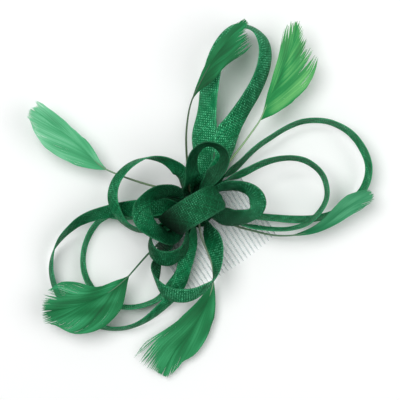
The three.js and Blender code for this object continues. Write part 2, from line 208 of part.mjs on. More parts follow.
// One feather is one loft through its stations: shaft x, y, z, then how far
// the vane reaches to the left and to the right of the shaft.
const FEATHERS = {
  feather_upper_left: [
    [-4.22,8.29,15,0.8,0.8],[-7.41,14.04,14.83,0.8,0.8],[-10.88,19.63,14.63,0.8,0.8],[-14.92,24.81,14.94,0.8,0.8],
    [-19.27,29.7,15.67,0.8,0.8],[-23.48,34.73,16.31,0.8,0.8],[-27.53,39.9,16.82,0.8,0.8],[-31.37,45.24,17,0.8,0.8],
    [-35.01,50.73,17.09,0.8,0.8],[-37.6,56.85,17.73,4.53,2.07],[-39.22,63.28,18.53,9.28,4.19],
    [-40.61,69.78,19.34,12.74,5.5],[-42.24,76.22,20.16,14.8,5.66],[-44.14,82.58,20.94,15.87,6.07],
    [-46.28,88.88,21.68,15.62,6.85],[-48.47,95.15,22.44,13.69,6.91],[-50.69,101.43,23.09,11.12,6.59],
    [-52.98,107.7,23.5,3.6,3.65],
  ],
  feather_top_right: [
    [8.74,3.18,14.5,0.8,0.8],[16.05,5.51,14.59,0.8,0.8],[23.4,7.68,14.81,0.8,0.8],[30.7,9.98,15.31,0.8,0.8],
    [37.93,12.45,16.1,0.8,0.8],[45.14,14.95,16.9,0.8,0.8],[52.32,17.55,17.64,0.8,0.8],[59.45,20.29,18.32,0.8,0.8],
    [66.51,23.21,18.97,0.8,0.8],[72.65,27.15,19.56,0.98,6.99],[78.67,31.25,20.27,2.43,12.64],
    [84.73,35.29,21.01,3.64,17.29],[90.88,39.18,21.75,5.02,20.46],[97.08,43.03,22.25,6.39,21.57],
    [103.21,47.01,22.61,7.5,20.28],[109.12,51.31,22.96,8.36,13.09],[114.64,56.11,23.16,8.45,6.53],
    [119.77,61.33,23.2,3.25,1.32],
  ],
  feather_bottom: [
    [-2.56,-8.94,8,0.8,0.8],[-4.55,-13.72,8.15,0.8,0.8],[-6.64,-18.49,8.38,0.8,0.8],[-7.94,-23.52,8.49,0.8,0.8],
    [-8.85,-28.65,8.5,0.8,0.8],[-9.79,-33.77,8.5,0.8,0.8],[-11.12,-38.8,8.5,0.8,0.8],[-13.19,-43.57,8.5,0.8,0.8],
    [-15.9,-48.02,8.5,0.8,0.8],[-20.41,-52.95,8.38,2.14,2.93],[-25.55,-57.24,8.17,5.13,5.17],
    [-31.11,-60.97,8.01,7.85,7.28],[-37.02,-64.12,7.87,10.39,9.27],[-43.1,-66.93,7.69,12.12,11.24],
    [-49.3,-69.44,7.45,12.67,13.21],[-55.66,-71.52,7.1,12.38,15.45],[-62.02,-73.59,6.74,10.38,18.57],
    [-68.15,-76.26,6.37,8.04,25.12],[-73.89,-79.7,6,3.15,12.51],
  ],
  feather_lower_left: [
    [-9.16,-1.61,8,0.8,0.8],[-15.77,-3.56,7.43,0.8,0.8],[-22.35,-5.64,6.64,0.8,0.8],[-29.07,-7.32,6.13,0.8,0.8],
    [-35.85,-8.81,6.11,0.8,0.8],[-42.58,-10.32,6.87,0.8,0.8],[-49.05,-11.97,8.72,0.8,0.8],
    [-55.06,-13.68,11.73,0.8,0.8],[-60.74,-15.36,15.35,0.8,0.8],[-67.6,-16.54,17.5,5.5,3.12],
    [-74.8,-17.26,18.52,12.8,5.24],[-82.07,-17.18,19.26,18.04,7.37],[-89.31,-16.2,19.53,20.8,12.82],
    [-96.41,-14.44,19.41,21.11,17.49],[-103.35,-12.17,19,19.33,19.27],[-110.16,-9.53,18.54,13.94,17.48],
    [-116.7,-6.29,18,4.79,5.98],
  ],
  feather_top: [
    [2.72,8.89,17,0.8,0.8],[5.62,15.4,18.95,0.8,0.8],[9.16,21.71,20.94,0.8,0.8],[12.82,28.14,22.21,0.8,0.8],
    [16.47,34.54,23.66,0.8,0.8],[20.44,40.72,25.17,0.8,0.8],[24.84,46.58,26.79,0.8,0.8],[29.61,52.05,28.7,0.8,0.8],
    [34.87,56.97,30.8,0.8,0.8],[40.74,61,32.45,0.8,1.46],[46.99,64.64,33.57,1.47,5.48],[53.33,68.18,34.52,2.3,7.48],
    [59.83,71.42,35.42,3.02,9.1],[66.55,74.22,36.15,4.59,11.41],[73.45,76.63,36.57,4.81,14.24],
    [80.43,78.79,36.97,4.25,14.85],[87.61,80.16,37.2,1.74,1.61],
  ],
  feather_right: [
    [5.6,-7.43,8,0.8,0.8],[8.85,-14.09,8.25,0.8,0.8],[12.08,-20.79,8.74,0.8,0.8],[16.31,-26.92,9.32,0.8,0.8],
    [21.16,-32.56,9.89,0.8,0.8],[26.22,-38.01,10.58,0.8,0.8],[31.39,-43.32,11.5,0.8,0.8],[37.14,-47.9,12.77,0.8,0.8],
    [43.38,-51.61,14.48,0.8,0.8],[49.55,-54.33,15.97,1.35,0.97],[56.1,-56.26,16.88,2.2,1.95],
    [62.91,-57.25,17.4,3.28,2.83],[69.8,-57.31,17.76,4.79,3.87],[76.66,-56.62,18,5.71,5.29],[83.5,-55.68,18,6.6,6.39],
    [90.39,-55.47,18,5.96,6.73],[97.23,-56.44,18,2.46,2.82],
  ],
};

// ---- helpers ---------------------------------------------------------------
const wasm = await Module();
wasm.setup();

function bodyFromRings(rings) {
  // closed body through rings of equal vertex count, with flat ends
  const n = rings.length, k = rings[0].length, pos = [], idx = [];
  for (const ring of rings) for (const p of ring) pos.push(p.x, p.y, p.z);
  for (let i = 0; i < n - 1; i++) for (let j = 0; j < k; j++) {
    const a = i * k + j, b = i * k + (j + 1) % k, c = a + k, d = b + k;
    idx.push(a, b, d, a, d, c);
  }
  for (let j = 1; j < k - 1; j++) {
    idx.push(0, j + 1, j);
    idx.push((n - 1) * k, (n - 1) * k + j, (n - 1) * k + j + 1);
  }
  // faces point out
  let vol = 0;
  for (let t = 0; t < idx.length; t += 3) {
    const [a, b, c] = [idx[t] * 3, idx[t + 1] * 3, idx[t + 2] * 3];
    vol += pos[a] * (pos[b + 1] * pos[c + 2] - pos[b + 2] * pos[c + 1])
         - pos[a + 1] * (pos[b] * pos[c + 2] - pos[b + 2] * pos[c])
         + pos[a + 2] * (pos[b] * pos[c + 1] - pos[b + 1] * pos[c]);
  }
  if (vol < 0) for (let t = 0; t < idx.length; t += 3) [idx[t + 1], idx[t + 2]] = [idx[t + 2], idx[t + 1]];
  const g = new THREE.BufferGeometry();
  g.setAttribute('position', new THREE.Float32BufferAttribute(pos, 3));
  g.setIndex(idx);
  g.computeVertexNormals();
  return g;
}

function tangents(points) {
  return points.map((p, i) => {
    const a = points[Math.max(0, i - 1)], b = points[Math.min(points.length - 1, i + 1)];
    return b.clone().sub(a).normalize();
  });
}

function stripBody(stations) {
  const centre = stations.map(s => new THREE.Vector3(s[0], s[1], s[2]));
  const tan = tangents(centre);
  const rings = stations.map((s, i) => {
    const across = new THREE.Vector3(s[3], s[4], s[5]);
    const width = across.length();
    across.addScaledVector(tan[i], -across.dot(tan[i])).normalize();
    const normal = tan[i].clone().cross(across);
    const h = across.multiplyScalar(width / 2), t = normal.multiplyScalar(STRIP_THICKNESS / 2);
    const c = centre[i];
    return [c.clone().sub(h).sub(t), c.clone().add(h).sub(t), c.clone().add(h).add(t), c.clone().sub(h).add(t)];
  });
  return bodyFromRings(rings);
}

function featherBody(stations) {
  const centre = stations.map(s => new THREE.Vector3(s[0], s[1], s[2]));
  const tan = tangents(centre);
  const rings = stations.map((s, i) => {
    const left = new THREE.Vector3(-tan[i].y, tan[i].x, 0).normalize();
    const up = tan[i].clone().cross(left);
    if (up.z < 0) up.negate();
    const L = s[3], R = s[4], vane = L > 1.5 || R > 1.5;
    const e = vane ? VANE_EDGE : 0.45, m = vane ? VANE_MIDDLE : QUILL_RADIUS, c = centre[i];
    const at = (x, z) => c.clone().addScaledVector(left, x).addScaledVector(up, z);
    return [at(L, -e), at(0, -m), at(-R, -e), at(-R, e), at(0, m), at(L, e)];
  });
  return bodyFromRings(rings);
}

function toManifold(geometry) {
  const g = geometry.clone();
  for (const name of Object.keys(g.attributes)) if (name !== 'position') g.deleteAttribute(name);
  const m = mergeVertices(g, 1e-5);
  return new wasm.Manifold(new wasm.Mesh({
    numProp: 3,
    vertProperties: new Float32Array(m.attributes.position.array),
    triVerts: new Uint32Array(m.index.array),
  }));
}

function fromManifold(solid) {
  const m = solid.getMesh(), g = new THREE.BufferGeometry();
  const pos = new Float32Array(m.numVert * 3);
  for (let i = 0; i < m.numVert; i++) for (let k = 0; k < 3; k++) pos[i * 3 + k] = m.vertProperties[i * m.numProp + k];
  g.setAttribute('position', new THREE.BufferAttribute(pos, 3));
  g.setIndex(new THREE.BufferAttribute(new Uint32Array(m.triVerts), 1));
  g.computeVertexNormals();
  return g;
}

function box(x0, x1, y0, y1, z0, z1) {
  const g = new THREE.BoxGeometry(x1 - x0, y1 - y0, z1 - z0);
  g.translate((x0 + x1) / 2, (y0 + y1) / 2, (z0 + z1) / 2);
  return g;
}

const group = new THREE.Group();
function add(name, geometry, color, roughness, extra = {}) {
  const mesh = new THREE.Mesh(geometry, new THREE.MeshStandardMaterial({ color, roughness, metalness: 0, ...extra }));
  mesh.name = name;
  group.add(mesh);
}

// ---- comb ------------------------------------------------------------------
// spine: a bar with a flat underside and chamfered top edges
const spineShape = new THREE.Shape([
  new THREE.Vector2(-SPINE_DEPTH / 2, 0), new THREE.Vector2(SPINE_DEPTH / 2, 0),
  new THREE.Vector2(SPINE_DEPTH / 2, SPINE_HEIGHT - 0.9), new THREE.Vector2(SPINE_DEPTH / 2 - 1.1, SPINE_HEIGHT),
  new THREE.Vector2(-SPINE_DEPTH / 2 + 1.1, SPINE_HEIGHT), new THREE.Vector2(-SPINE_DEPTH / 2, SPINE_HEIGHT - 0.6),
]);
const spineGeometry = new THREE.ExtrudeGeometry(spineShape, { depth: COMB_LENGTH, bevelEnabled: false, steps: 1 });
// shape x -> world Y, shape y -> world Z, extrusion -> world X
spineGeometry.applyMatrix4(new THREE.Matrix4().makeBasis(
  new THREE.Vector3(0, 1, 0), new THREE.Vector3(0, 0, 1), new THREE.Vector3(1, 0, 0)));
spineGeometry.translate(-COMB_LENGTH / 2, 0, 0);
let comb = toManifold(spineGeometry);

for (let i = 0; i < TOOTH_COUNT; i++) {
  const x = (i - (TOOTH_COUNT - 1) / 2) * TOOTH_PITCH;
  const u = x / (COMB_LENGTH / 2);
  const end = i === 0 || i === TOOTH_COUNT - 1;
  const length = TOOTH_LENGTH - 3.5 * u * u;
  const root = end ? 2.2 : TOOTH_ROOT, tip = end ? 1.3 : TOOTH_TIP;
  const rings = [-0.06, 0.12, 0.4, 0.7, 0.93, 1].map(f => {
    const y = -SPINE_DEPTH / 2 - Math.max(f, 0) * length + (f < 0 ? 2.5 : 0);
    const w = (root + (tip - root) * Math.max(f, 0)) * (f === 1 ? 0.45 : 1) / 2;
    const lift = TOOTH_LIFT * Math.sin(Math.PI * Math.max(f, 0));
    const t0 = 0.35 + lift, t1 = t0 + (2.1 - 1.2 * Math.max(f, 0)) * (f === 1 ? 0.55 : 1);
    return [new THREE.Vector3(x - w, y, t0), new THREE.Vector3(x + w, y, t0),
            new THREE.Vector3(x + w * 0.7, y, t1), new THREE.Vector3(x - w * 0.7, y, t1)];
  });
  comb = comb.add(toManifold(bodyFromRings(rings)));
}
const WRAP_X = [-4, -3, 3, 4].map(k => k * TOOTH_PITCH);
for (const x of WRAP_X) comb = comb.subtract(toManifold(box(x - RELIEF_WIDTH / 2, x + RELIEF_WIDTH / 2,
  -SPINE_DEPTH / 2 - 0.5, SPINE_DEPTH / 2 + 0.5, -1, RELIEF_DEPTH)));
add('comb', fromManifold(comb), 0xdfe8e6, 0.15, { transparent: true, opacity: 0.45 });

// ---- felt pad ----------------------------------------------------------------
const padShape = new THREE.Shape();
for (let i = 0; i < 28; i++) {
  const a = i / 28 * Math.PI * 2;
  const p = new THREE.Vector2(PAD_RX * Math.cos(a), PAD_Y + PAD_RY * Math.sin(a));
  if (i === 0) padShape.moveTo(p.x, p.y); else padShape.lineTo(p.x, p.y);
}
padShape.closePath();
const pad = new THREE.ExtrudeGeometry(padShape, { depth: PAD_Z1 - PAD_Z0, bevelEnabled: false });
pad.translate(0, 0, PAD_Z0);
add('felt_base', pad, 0x174a30, 0.95);

// ---- thread wraps that bind the pad to the spine -------------------------------
// four closed wraps in the tooth gaps, joined by the thread's run along the back
const wrapReach = PAD_RY * Math.sqrt(1 - ((3 * TOOTH_PITCH - THREAD / 2) / PAD_RX) ** 2);
const wrapY0 = PAD_Y - wrapReach - GAP, wrapY1 = PAD_Y + wrapReach + GAP;
let stitching = toManifold(box(WRAP_X[0] - THREAD / 2, WRAP_X[3] + THREAD / 2, wrapY1, wrapY1 + THREAD, 0.1, 0.1 + THREAD));
for (const x of WRAP_X) {
  const outer = toManifold(box(x - THREAD / 2, x + THREAD / 2, wrapY0 - THREAD, wrapY1 + THREAD, 0.1, PAD_Z1 + GAP + THREAD - 0.1));
  const inner = toManifold(box(x - THREAD, x + THREAD, wrapY0, wrapY1, 0.1 + THREAD, PAD_Z1 + GAP));
  stitching = stitching.add(outer.subtract(inner));
}
add('comb_stitching', fromManifold(stitching), 0x1f5c3e, 0.8);

// ---- bound core ------------------------------------------------------------------
const coreProfile = [[0, CORE_Z0], [7.0, CORE_Z0], [8.1, 8], [8.3, 12], [7.7, 14.6], [8.3, 17], [7.7, 20], [8.3, 23.5], [7.0, 26.6], [6.2, CORE_Z1], [0, CORE_Z1]]
  .map(p => new THREE.Vector2(p[0], p[1]));
const core = new THREE.LatheGeometry(coreProfile, 18);
core.applyMatrix4(new THREE.Matrix4().makeRotationX(Math.PI / 2));
add('bound_core', fromManifold(toManifold(core)), 0x1a5236, 0.9);

// ---- loops and feathers ------------------------------------------------------------
for (const [name, loop] of Object.entries(LOOPS)) add(name, stripBody(loop.stations), GREEN_STRIP, 0.7);
for (const [name, stations] of Object.entries(FEATHERS)) add(name, featherBody(stations), GREEN_FEATHER, 0.75);

export default group;
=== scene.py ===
# Fascinator headpiece, the looks: straw-cloth loops, barbed feathers, clear comb, bound core.
# Everything is built in millimetres in the row frame and scaled to metres at the end.
import math
import bpy
import bmesh
import numpy as np
from mathutils import Matrix, Vector


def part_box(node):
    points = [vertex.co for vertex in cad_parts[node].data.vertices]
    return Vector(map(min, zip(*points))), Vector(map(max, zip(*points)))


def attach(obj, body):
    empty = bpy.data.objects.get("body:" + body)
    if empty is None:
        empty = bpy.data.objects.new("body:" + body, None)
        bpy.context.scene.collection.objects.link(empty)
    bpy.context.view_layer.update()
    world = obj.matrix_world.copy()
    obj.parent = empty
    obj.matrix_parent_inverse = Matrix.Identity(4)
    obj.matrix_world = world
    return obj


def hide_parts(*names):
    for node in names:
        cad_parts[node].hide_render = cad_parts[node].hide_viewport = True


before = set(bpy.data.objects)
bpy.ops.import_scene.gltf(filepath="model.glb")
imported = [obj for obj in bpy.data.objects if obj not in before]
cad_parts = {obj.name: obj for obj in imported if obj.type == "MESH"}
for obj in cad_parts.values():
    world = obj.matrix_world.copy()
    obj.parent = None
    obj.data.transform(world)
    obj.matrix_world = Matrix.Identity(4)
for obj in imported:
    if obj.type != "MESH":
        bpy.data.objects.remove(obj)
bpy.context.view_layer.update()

scene = bpy.context.scene
MM = 0.001

# ---------------------------------------------------------------- camera
CO, SI = 0.83861, 0.54474                      # the picture's right is (CO, -SI), its up is (SI, CO)
CAM_D = 1.150                                  # metres above the table
cam_data = bpy.data.cameras.new("camera")
cam_data.sensor_width = 36.0
cam_data.lens = 36.0 * CAM_D / 0.26667
cam_data.clip_start = 0.05
cam_data.clip_end = 20
cam = bpy.data.objects.new("camera", cam_data)
scene.collection.objects.link(cam)
cam.matrix_world = Matrix(((CO, SI, 0, 0.00535), (-SI, CO, 0, 0.00090), (0, 0, 1, CAM_D), (0, 0, 0, 1)))
scene.camera = cam
KEY, FILL, WORLD, EXPOSURE = 11.0, 5.6, 0.32, 0.0
scene.view_settings.view_transform = "Standard"
scene.view_settings.look = "None"

# ---------------------------------------------------------------- tables (mm)
# a loop: strip width, then stations of centre x, y, z and the vector across the strip
LOOPS = {
    "loop_top_large": (15, [
        [3.63, 8.56, 9, -0.52, -0.39, 5.96], [7.21, 11.26, 9.49, -1.91, 1.51, 7.56],
        [12.06, 11.81, 10.48, -3.63, 4.89, 8.7], [16.15, 14.3, 11.5, -8.79, 7.62, 4.95],
        [18.84, 18.4, 12.37, -10.29, 7.81, -5.28], [21.5, 22.53, 13.25, -8.35, 8.09, -9.48],
        [24.49, 26.4, 14.21, -8.42, 8.63, -8.92], [27.53, 30.27, 15.04, -9.34, 8.63, -7.95],
        [30.54, 34.21, 15.59, -9.6, 8.4, -7.89], [33.58, 38.14, 16.07, -9.36, 8.44, -8.13],
        [36.67, 42.01, 16.62, -8.94, 8.45, -8.58], [39.79, 45.86, 17.2, -8.61, 8.29, -9.07],
        [42.89, 49.73, 17.77, -8.53, 8.18, -9.24], [45.96, 53.62, 18.36, -8.62, 8.25, -9.09],
        [49.09, 57.46, 18.9, -8.61, 8.37, -8.99], [52.33, 61.23, 19.36, -8.37, 8.45, -9.14],
        [55.68, 64.91, 19.75, -7.87, 8.64, -9.4], [59.23, 68.38, 20.15, -7.2, 8.98, -9.62],
        [62.99, 71.64, 20.57, -6.57, 9.3, -9.76], [66.94, 74.66, 20.96, -5.88, 9.47, -10.04],
        [71.1, 77.39, 21.25, -4.87, 9.4, -10.62], [75.5, 79.72, 21.51, -3.46, 9.1, -11.41],
        [80.13, 81.55, 21.83, -1.77, 8.58, -12.17], [85.02, 82.4, 22.01, 0.32, 7.32, -13.09],
        [89.86, 81.44, 22, 2.38, 4.79, -14.01], [93.54, 78.14, 22, 2.56, 2.02, -14.64],
        [95.91, 73.78, 22, 4.09, 1.37, -14.37], [96.65, 68.87, 22, 6.57, 0.51, -13.48],
        [96.08, 63.93, 21.72, 8.22, -1.29, -12.48], [94.18, 59.35, 21.35, 8.27, -3.62, -11.98],
        [91.28, 55.31, 21.01, 7.79, -4.93, -11.83], [87.9, 51.71, 20.41, 7.4, -5.79, -11.69],
        [84.13, 48.48, 19.87, 6.53, -6.76, -11.69], [80.08, 45.58, 19.58, 5.7, -7.45, -11.7],
        [75.84, 42.97, 19.35, 5.33, -8.06, -11.47], [71.47, 40.59, 19.09, 5.26, -8.62, -11.09],
        [66.99, 38.42, 18.68, 5.29, -8.95, -10.82], [62.46, 36.4, 18.15, 5.35, -9.15, -10.61],
        [57.95, 34.34, 17.64, 5.48, -9.39, -10.33], [53.45, 32.24, 17.15, 5.49, -9.74, -10],
        [48.91, 30.21, 16.7, 5.87, -9.99, -9.53], [44.51, 27.95, 16.14, 8.1, -8.87, -8.98],
        [40.96, 24.66, 15.02, 10.01, -6.1, -9.36], [37.93, 20.93, 13.67, 9.36, -5.07, -10.57],
        [34.41, 17.57, 12.62, 7.37, -5.69, -10.98], [30.45, 14.62, 11.92, 5.64, -5.95, -10.15],
        [26.23, 12.03, 11.32, 4.41, -5.74, -9.18], [21.74, 9.96, 10.65, 3.12, -4.81, -8.53],
        [17.03, 8.5, 9.94, 2.03, -2.94, -8.05], [12.26, 7.17, 9.28, 1.01, -0.74, -7.23],
        [7.8, 5.06, 9, 0.31, 0.15, -5.99],
    ]),
    "loop_left_upper": (11, [
        [-0.65, 9.28, 16, -0.28, -1.37, 5.83], [0.3, 13.89, 17.13, -0.16, -3.03, 7.02],
        [2.55, 17.64, 19.68, 1.43, -6.28, 7.28], [4.2, 21.31, 22.77, 8.34, -4.88, 4.57],
        [4.22, 25.68, 25.22, 8.78, -1.38, 6.48], [2.76, 30.32, 26.64, 6.92, 0.5, 8.53],
        [0.33, 34.59, 27.85, 5.17, 1.47, 9.59], [-3.06, 38.29, 28.56, 3.17, 1.8, 10.38],
        [-7.1, 41.32, 28.96, 1.26, 1.21, 10.86], [-11.75, 43.33, 29.01, -0.47, -1.64, 10.87],
        [-16.72, 44.34, 29, -0.34, -3.36, 10.47], [-21.79, 44.33, 29, 0.38, -4.35, 10.1],
        [-26.79, 43.47, 29, 1.27, -5.05, 9.69], [-31.59, 41.85, 29, 2.52, -5.44, 9.22],
        [-35.93, 39.24, 29.01, 3.95, -5.1, 8.91], [-39.57, 35.72, 29.02, 4.92, -4.71, 8.64],
        [-42.28, 31.49, 28.4, 5.46, -4.8, 8.26], [-43.9, 26.97, 26.8, 5.76, -4.98, 7.94],
        [-44.61, 22.53, 24.47, 5.68, -4.85, 8.07], [-44.49, 18.15, 21.91, 5.1, -4.38, 8.71],
        [-43.59, 13.79, 19.48, 4.54, -3.37, 9.44], [-41.6, 9.6, 17.47, 4.51, -1.43, 9.93],
        [-38.43, 5.94, 16, 4.41, 1.39, 9.98], [-34.2, 3.34, 15.08, 2.93, 3.03, 9.83],
        [-29.4, 1.77, 14.6, 1.13, 2.82, 9.69], [-24.38, 1.06, 14.59, -0.19, 2.04, 9.17],
        [-19.32, 0.98, 14.99, -0.89, 1.16, 8.44], [-14.29, 1.14, 15.64, -0.73, 0.37, 7.23],
        [-9.25, 0.97, 16, -0.42, 0.01, 5.99],
    ]),
    "loop_left_large": (11, [
        [-7.43, 5.6, 17, 0.3, -0.13, 5.99], [-11.93, 7.5, 17.27, 2.37, 4.86, 7.24],
        [-16.56, 9.37, 17.45, 3.52, 7.19, 5.64], [-20.96, 11.73, 17.5, 4.71, 8.07, 4.8],
        [-25.21, 14.37, 17.53, 5.41, 8.4, 3.74], [-29.37, 17.14, 17.53, 5.66, 8.77, 2.88],
        [-33.61, 19.8, 17.49, 5.32, 9.24, 2.65], [-38.01, 22.16, 17.37, 4.62, 9.24, 3.78],
        [-42.52, 24.32, 17.37, 4.18, 8.63, 5.39], [-47.08, 26.35, 17.68, 3.59, 8.13, 6.48],
        [-51.75, 28.14, 17.68, 2.45, 7.94, 7.21], [-56.46, 29.73, 17.15, 1.19, 7.89, 7.58],
        [-61.17, 31.03, 16.14, -0.21, 7.61, 7.94], [-65.96, 31.79, 14.93, -1.16, 6.6, 8.72],
        [-70.86, 32.12, 14.03, -1.41, 5.42, 9.47], [-75.81, 31.59, 13.58, -1.44, 4.11, 10.1],
        [-80.72, 30.75, 13.18, -1.82, 3.13, 10.39], [-85.48, 29.37, 12.55, -2.41, 2.14, 10.52],
        [-89.97, 27.31, 11.77, -2.16, 0.18, 10.78], [-94.12, 24.67, 10.89, -0.8, -2.76, 10.62],
        [-97.77, 21.49, 9.66, 0.26, -3.85, 10.3], [-100.96, 17.83, 8.51, 1.57, -3.85, 10.19],
        [-103.54, 13.65, 7.59, 2.85, -3.27, 10.11], [-105.44, 9.07, 6.94, 3.73, -2.49, 10.04],
        [-106.8, 4.29, 6.48, 4.02, -1.66, 10.1], [-107.56, -0.64, 6.19, 4.18, -0.85, 10.14],
        [-107.73, -5.64, 6.03, 4.34, -0.06, 10.11], [-107.23, -10.61, 5.98, 4.36, 0.7, 10.07],
        [-106.07, -15.47, 6, 4.27, 1.33, 10.05], [-104.3, -20.14, 6, 4.16, 1.83, 10.02],
        [-102.05, -24.61, 6, 3.92, 2.2, 10.04], [-99.41, -28.85, 6, 3.46, 2.39, 10.16],
        [-96.37, -32.82, 6, 2.91, 2.47, 10.32], [-92.93, -36.45, 5.99, 2.26, 2.53, 10.46],
        [-89.04, -39.58, 6.04, 1.52, 2.76, 10.54], [-84.71, -42.07, 6.28, 0.63, 3.11, 10.53],
        [-80.12, -43.97, 6.8, -0.28, 3.21, 10.52], [-75.33, -45.21, 7.49, -0.86, 3.35, 10.44],
        [-70.42, -45.8, 8.19, -1.19, 3.77, 10.27], [-65.47, -45.82, 8.86, -1.7, 4.42, 9.93],
        [-60.56, -45.4, 9.7, -2.3, 5.13, 9.46], [-55.69, -44.7, 10.63, -2.62, 5.63, 9.08],
        [-50.85, -43.84, 11.54, -3.08, 5.68, 8.9], [-46.12, -42.66, 12.65, -3.96, 6.05, 8.29],
        [-41.57, -41.03, 13.92, -4.95, 6.56, 7.31], [-37.31, -38.69, 15.05, -5.76, 6.63, 6.63],
        [-33.32, -35.79, 15.85, -6.29, 6.78, 5.95], [-29.55, -32.52, 16.21, -6.54, 7.11, 5.27],
        [-25.81, -29.2, 16.28, -6.53, 7.52, 4.67], [-22.04, -25.92, 16.11, -6.46, 7.77, 4.35],
        [-18.26, -22.66, 15.8, -5.73, 7.1, 4.93], [-14.51, -19.38, 15.43, -4.5, 5.08, 6.19],
        [-11.03, -15.79, 15.41, -3.23, 2.51, 6.97], [-7.92, -11.89, 15.79, -1.24, 0.42, 6.97],
        [-5.07, -7.8, 16, -0.14, -0.2, 5.99],
    ]),
    "loop_left_inner": (11, [
        [-8.56, 3.63, 9, 0.29, -0.1, 5.99], [-13.33, 5.23, 9.26, 0.08, -0.61, 6.71],
        [-18.15, 6.7, 9.4, -0.4, -0.88, 7.11], [-22.88, 8.44, 9.11, -0.99, -0.73, 7.63],
        [-27.53, 10.33, 8.52, -1.55, -0.83, 8.5], [-32.11, 12.32, 7.81, -1.9, -1.04, 9.39],
        [-36.62, 14.5, 7.15, -2.07, -1.3, 10.3], [-40.96, 17.01, 6.63, -2.17, -1.72, 10.44],
        [-45.16, 19.79, 6.24, -2.11, -2.14, 10.37], [-49.41, 22.51, 6.04, -0.88, -0.99, 10.78],
        [-53.9, 24.8, 5.99, 0.5, 2.16, 10.76], [-58.88, 25.29, 5.92, -0.29, 3.11, 10.55],
        [-63.73, 23.96, 5.97, -1.05, 3.07, 10.51], [-68.29, 21.79, 6, -1.56, 2.84, 10.51],
        [-72.5, 19.01, 6, -1.79, 2.38, 10.59], [-76.33, 15.73, 6, -1.95, 2, 10.64],
        [-79.7, 11.98, 6, -2.15, 1.66, 10.66], [-82.49, 7.77, 6, -2.39, 1.33, 10.65],
        [-84.6, 3.19, 6, -2.71, 1.01, 10.61], [-85.99, -1.66, 6, -3.05, 0.59, 10.55],
        [-86.52, -6.67, 6, -3.12, 0.12, 10.55], [-86.37, -11.72, 6, -3.03, -0.24, 10.57],
        [-85.72, -16.72, 6, -2.91, -0.71, 10.59], [-84.01, -21.45, 6, -2.52, -1.26, 10.63],
        [-81.26, -25.67, 6, -2.03, -1.62, 10.69], [-77.74, -29.29, 6, -1.63, -1.83, 10.72],
        [-73.75, -32.37, 6, -1.33, -1.99, 10.74], [-69.38, -34.89, 6, -1.04, -2.14, 10.74],
        [-64.71, -36.8, 5.99, -0.74, -2.29, 10.73], [-59.83, -38.08, 5.98, -0.82, -2.37, 10.71],
        [-54.84, -38.75, 6.31, -1.03, -2.9, 10.56], [-49.87, -38.3, 6.89, -0.38, -4.07, 10.21],
        [-45.12, -36.69, 7.5, 0.38, -5.34, 9.61], [-40.28, -35.43, 8.11, 0.63, -6.19, 9.07],
        [-35.46, -34.02, 8.64, 1.71, -6.51, 8.7], [-30.92, -31.84, 8.96, 3.03, -6.28, 8.51],
        [-26.66, -29.15, 9.1, 3.96, -5.66, 8.56], [-22.73, -25.98, 9.05, 4.41, -4.76, 8.88],
        [-19.12, -22.45, 8.95, 4.44, -3.98, 8.56], [-15.77, -18.67, 8.84, 4.14, -3.45, 7.56],
        [-12.53, -14.81, 8.83, 3.09, -2.64, 7.09], [-9.35, -10.89, 8.94, 0.98, -0.97, 6.99],
        [-6.1, -7.02, 9, -0.05, -0.06, 6],
    ]),
    "loop_right_large": (11, [
        [9.06, 2.09, 9, 0.01, 0, 6], [13.99, 3.13, 8.99, 0.19, -0.9, 6.96], [18.95, 4.01, 8.98, 0.38, -2.56, 7.43],
        [23.94, 4.7, 9.02, 0.11, -2.21, 8.51], [28.96, 5.14, 9.14, -0.52, 1.98, 9.81],
        [33.97, 5.65, 9.37, -1.16, 4.72, 9.87], [38.94, 6.39, 9.72, -1.5, 4.04, 10.12],
        [43.87, 7.31, 10.17, -1.69, 3.18, 10.39], [48.76, 8.38, 10.7, -1.83, 3.15, 10.38],
        [53.69, 9.23, 11.32, -1.69, 3.21, 10.38], [58.67, 9.73, 11.89, -0.96, 3.2, 10.48],
        [63.7, 9.86, 12.04, -0.15, 3.13, 10.55], [68.74, 9.86, 12, 0.05, 3.03, 10.57],
        [73.78, 9.85, 12, 0.09, 2.96, 10.59], [78.81, 9.56, 12, 0.28, 2.95, 10.59],
        [83.8, 8.92, 12, 0.52, 2.94, 10.59], [88.71, 7.8, 12, 0.9, 2.83, 10.59], [93.37, 5.89, 12, 1.29, 2.62, 10.6],
        [97.73, 3.38, 12, 1.57, 2.4, 10.62], [101.78, 0.39, 12, 1.86, 2.17, 10.62],
        [105.36, -3.15, 12, 2.23, 1.89, 10.6], [108.28, -7.25, 12, 2.57, 1.63, 10.57],
        [110.73, -11.65, 12, 2.98, 1.39, 10.5], [112.52, -16.35, 12, 3.41, 0.98, 10.41],
        [113.49, -21.29, 12, 3.7, 0.48, 10.35], [113.8, -26.32, 12, 3.78, 0.02, 10.33],
        [113.52, -31.34, 12.01, 3.89, -0.72, 10.26], [112.59, -36.28, 11.76, 3.57, -1.75, 10.25],
        [110.85, -40.98, 11.3, 2.85, -2.72, 10.27], [108.11, -45.15, 10.65, 2.02, -3.62, 10.19],
        [104.6, -48.64, 9.81, 1.36, -4.16, 10.09], [100.5, -51.46, 9.07, 0.78, -4.46, 10.03],
        [95.9, -53.37, 8.39, 0.08, -4.45, 10.06], [91.02, -54.49, 7.81, -0.33, -4.27, 10.13],
        [86.03, -54.98, 7.38, -0.47, -4.04, 10.22], [81, -55.07, 7.12, -0.45, -3.96, 10.25],
        [75.97, -54.76, 7.02, -0.67, -3.98, 10.23], [71.04, -53.77, 6.97, -1.09, -3.9, 10.23],
        [66.28, -52.12, 7, -1.26, -3.87, 10.22], [61.67, -50.1, 7.2, -1.33, -4.12, 10.11],
        [57.21, -47.79, 7.56, -1.53, -4.43, 9.95], [52.91, -45.2, 8.03, -1.78, -4.6, 9.83],
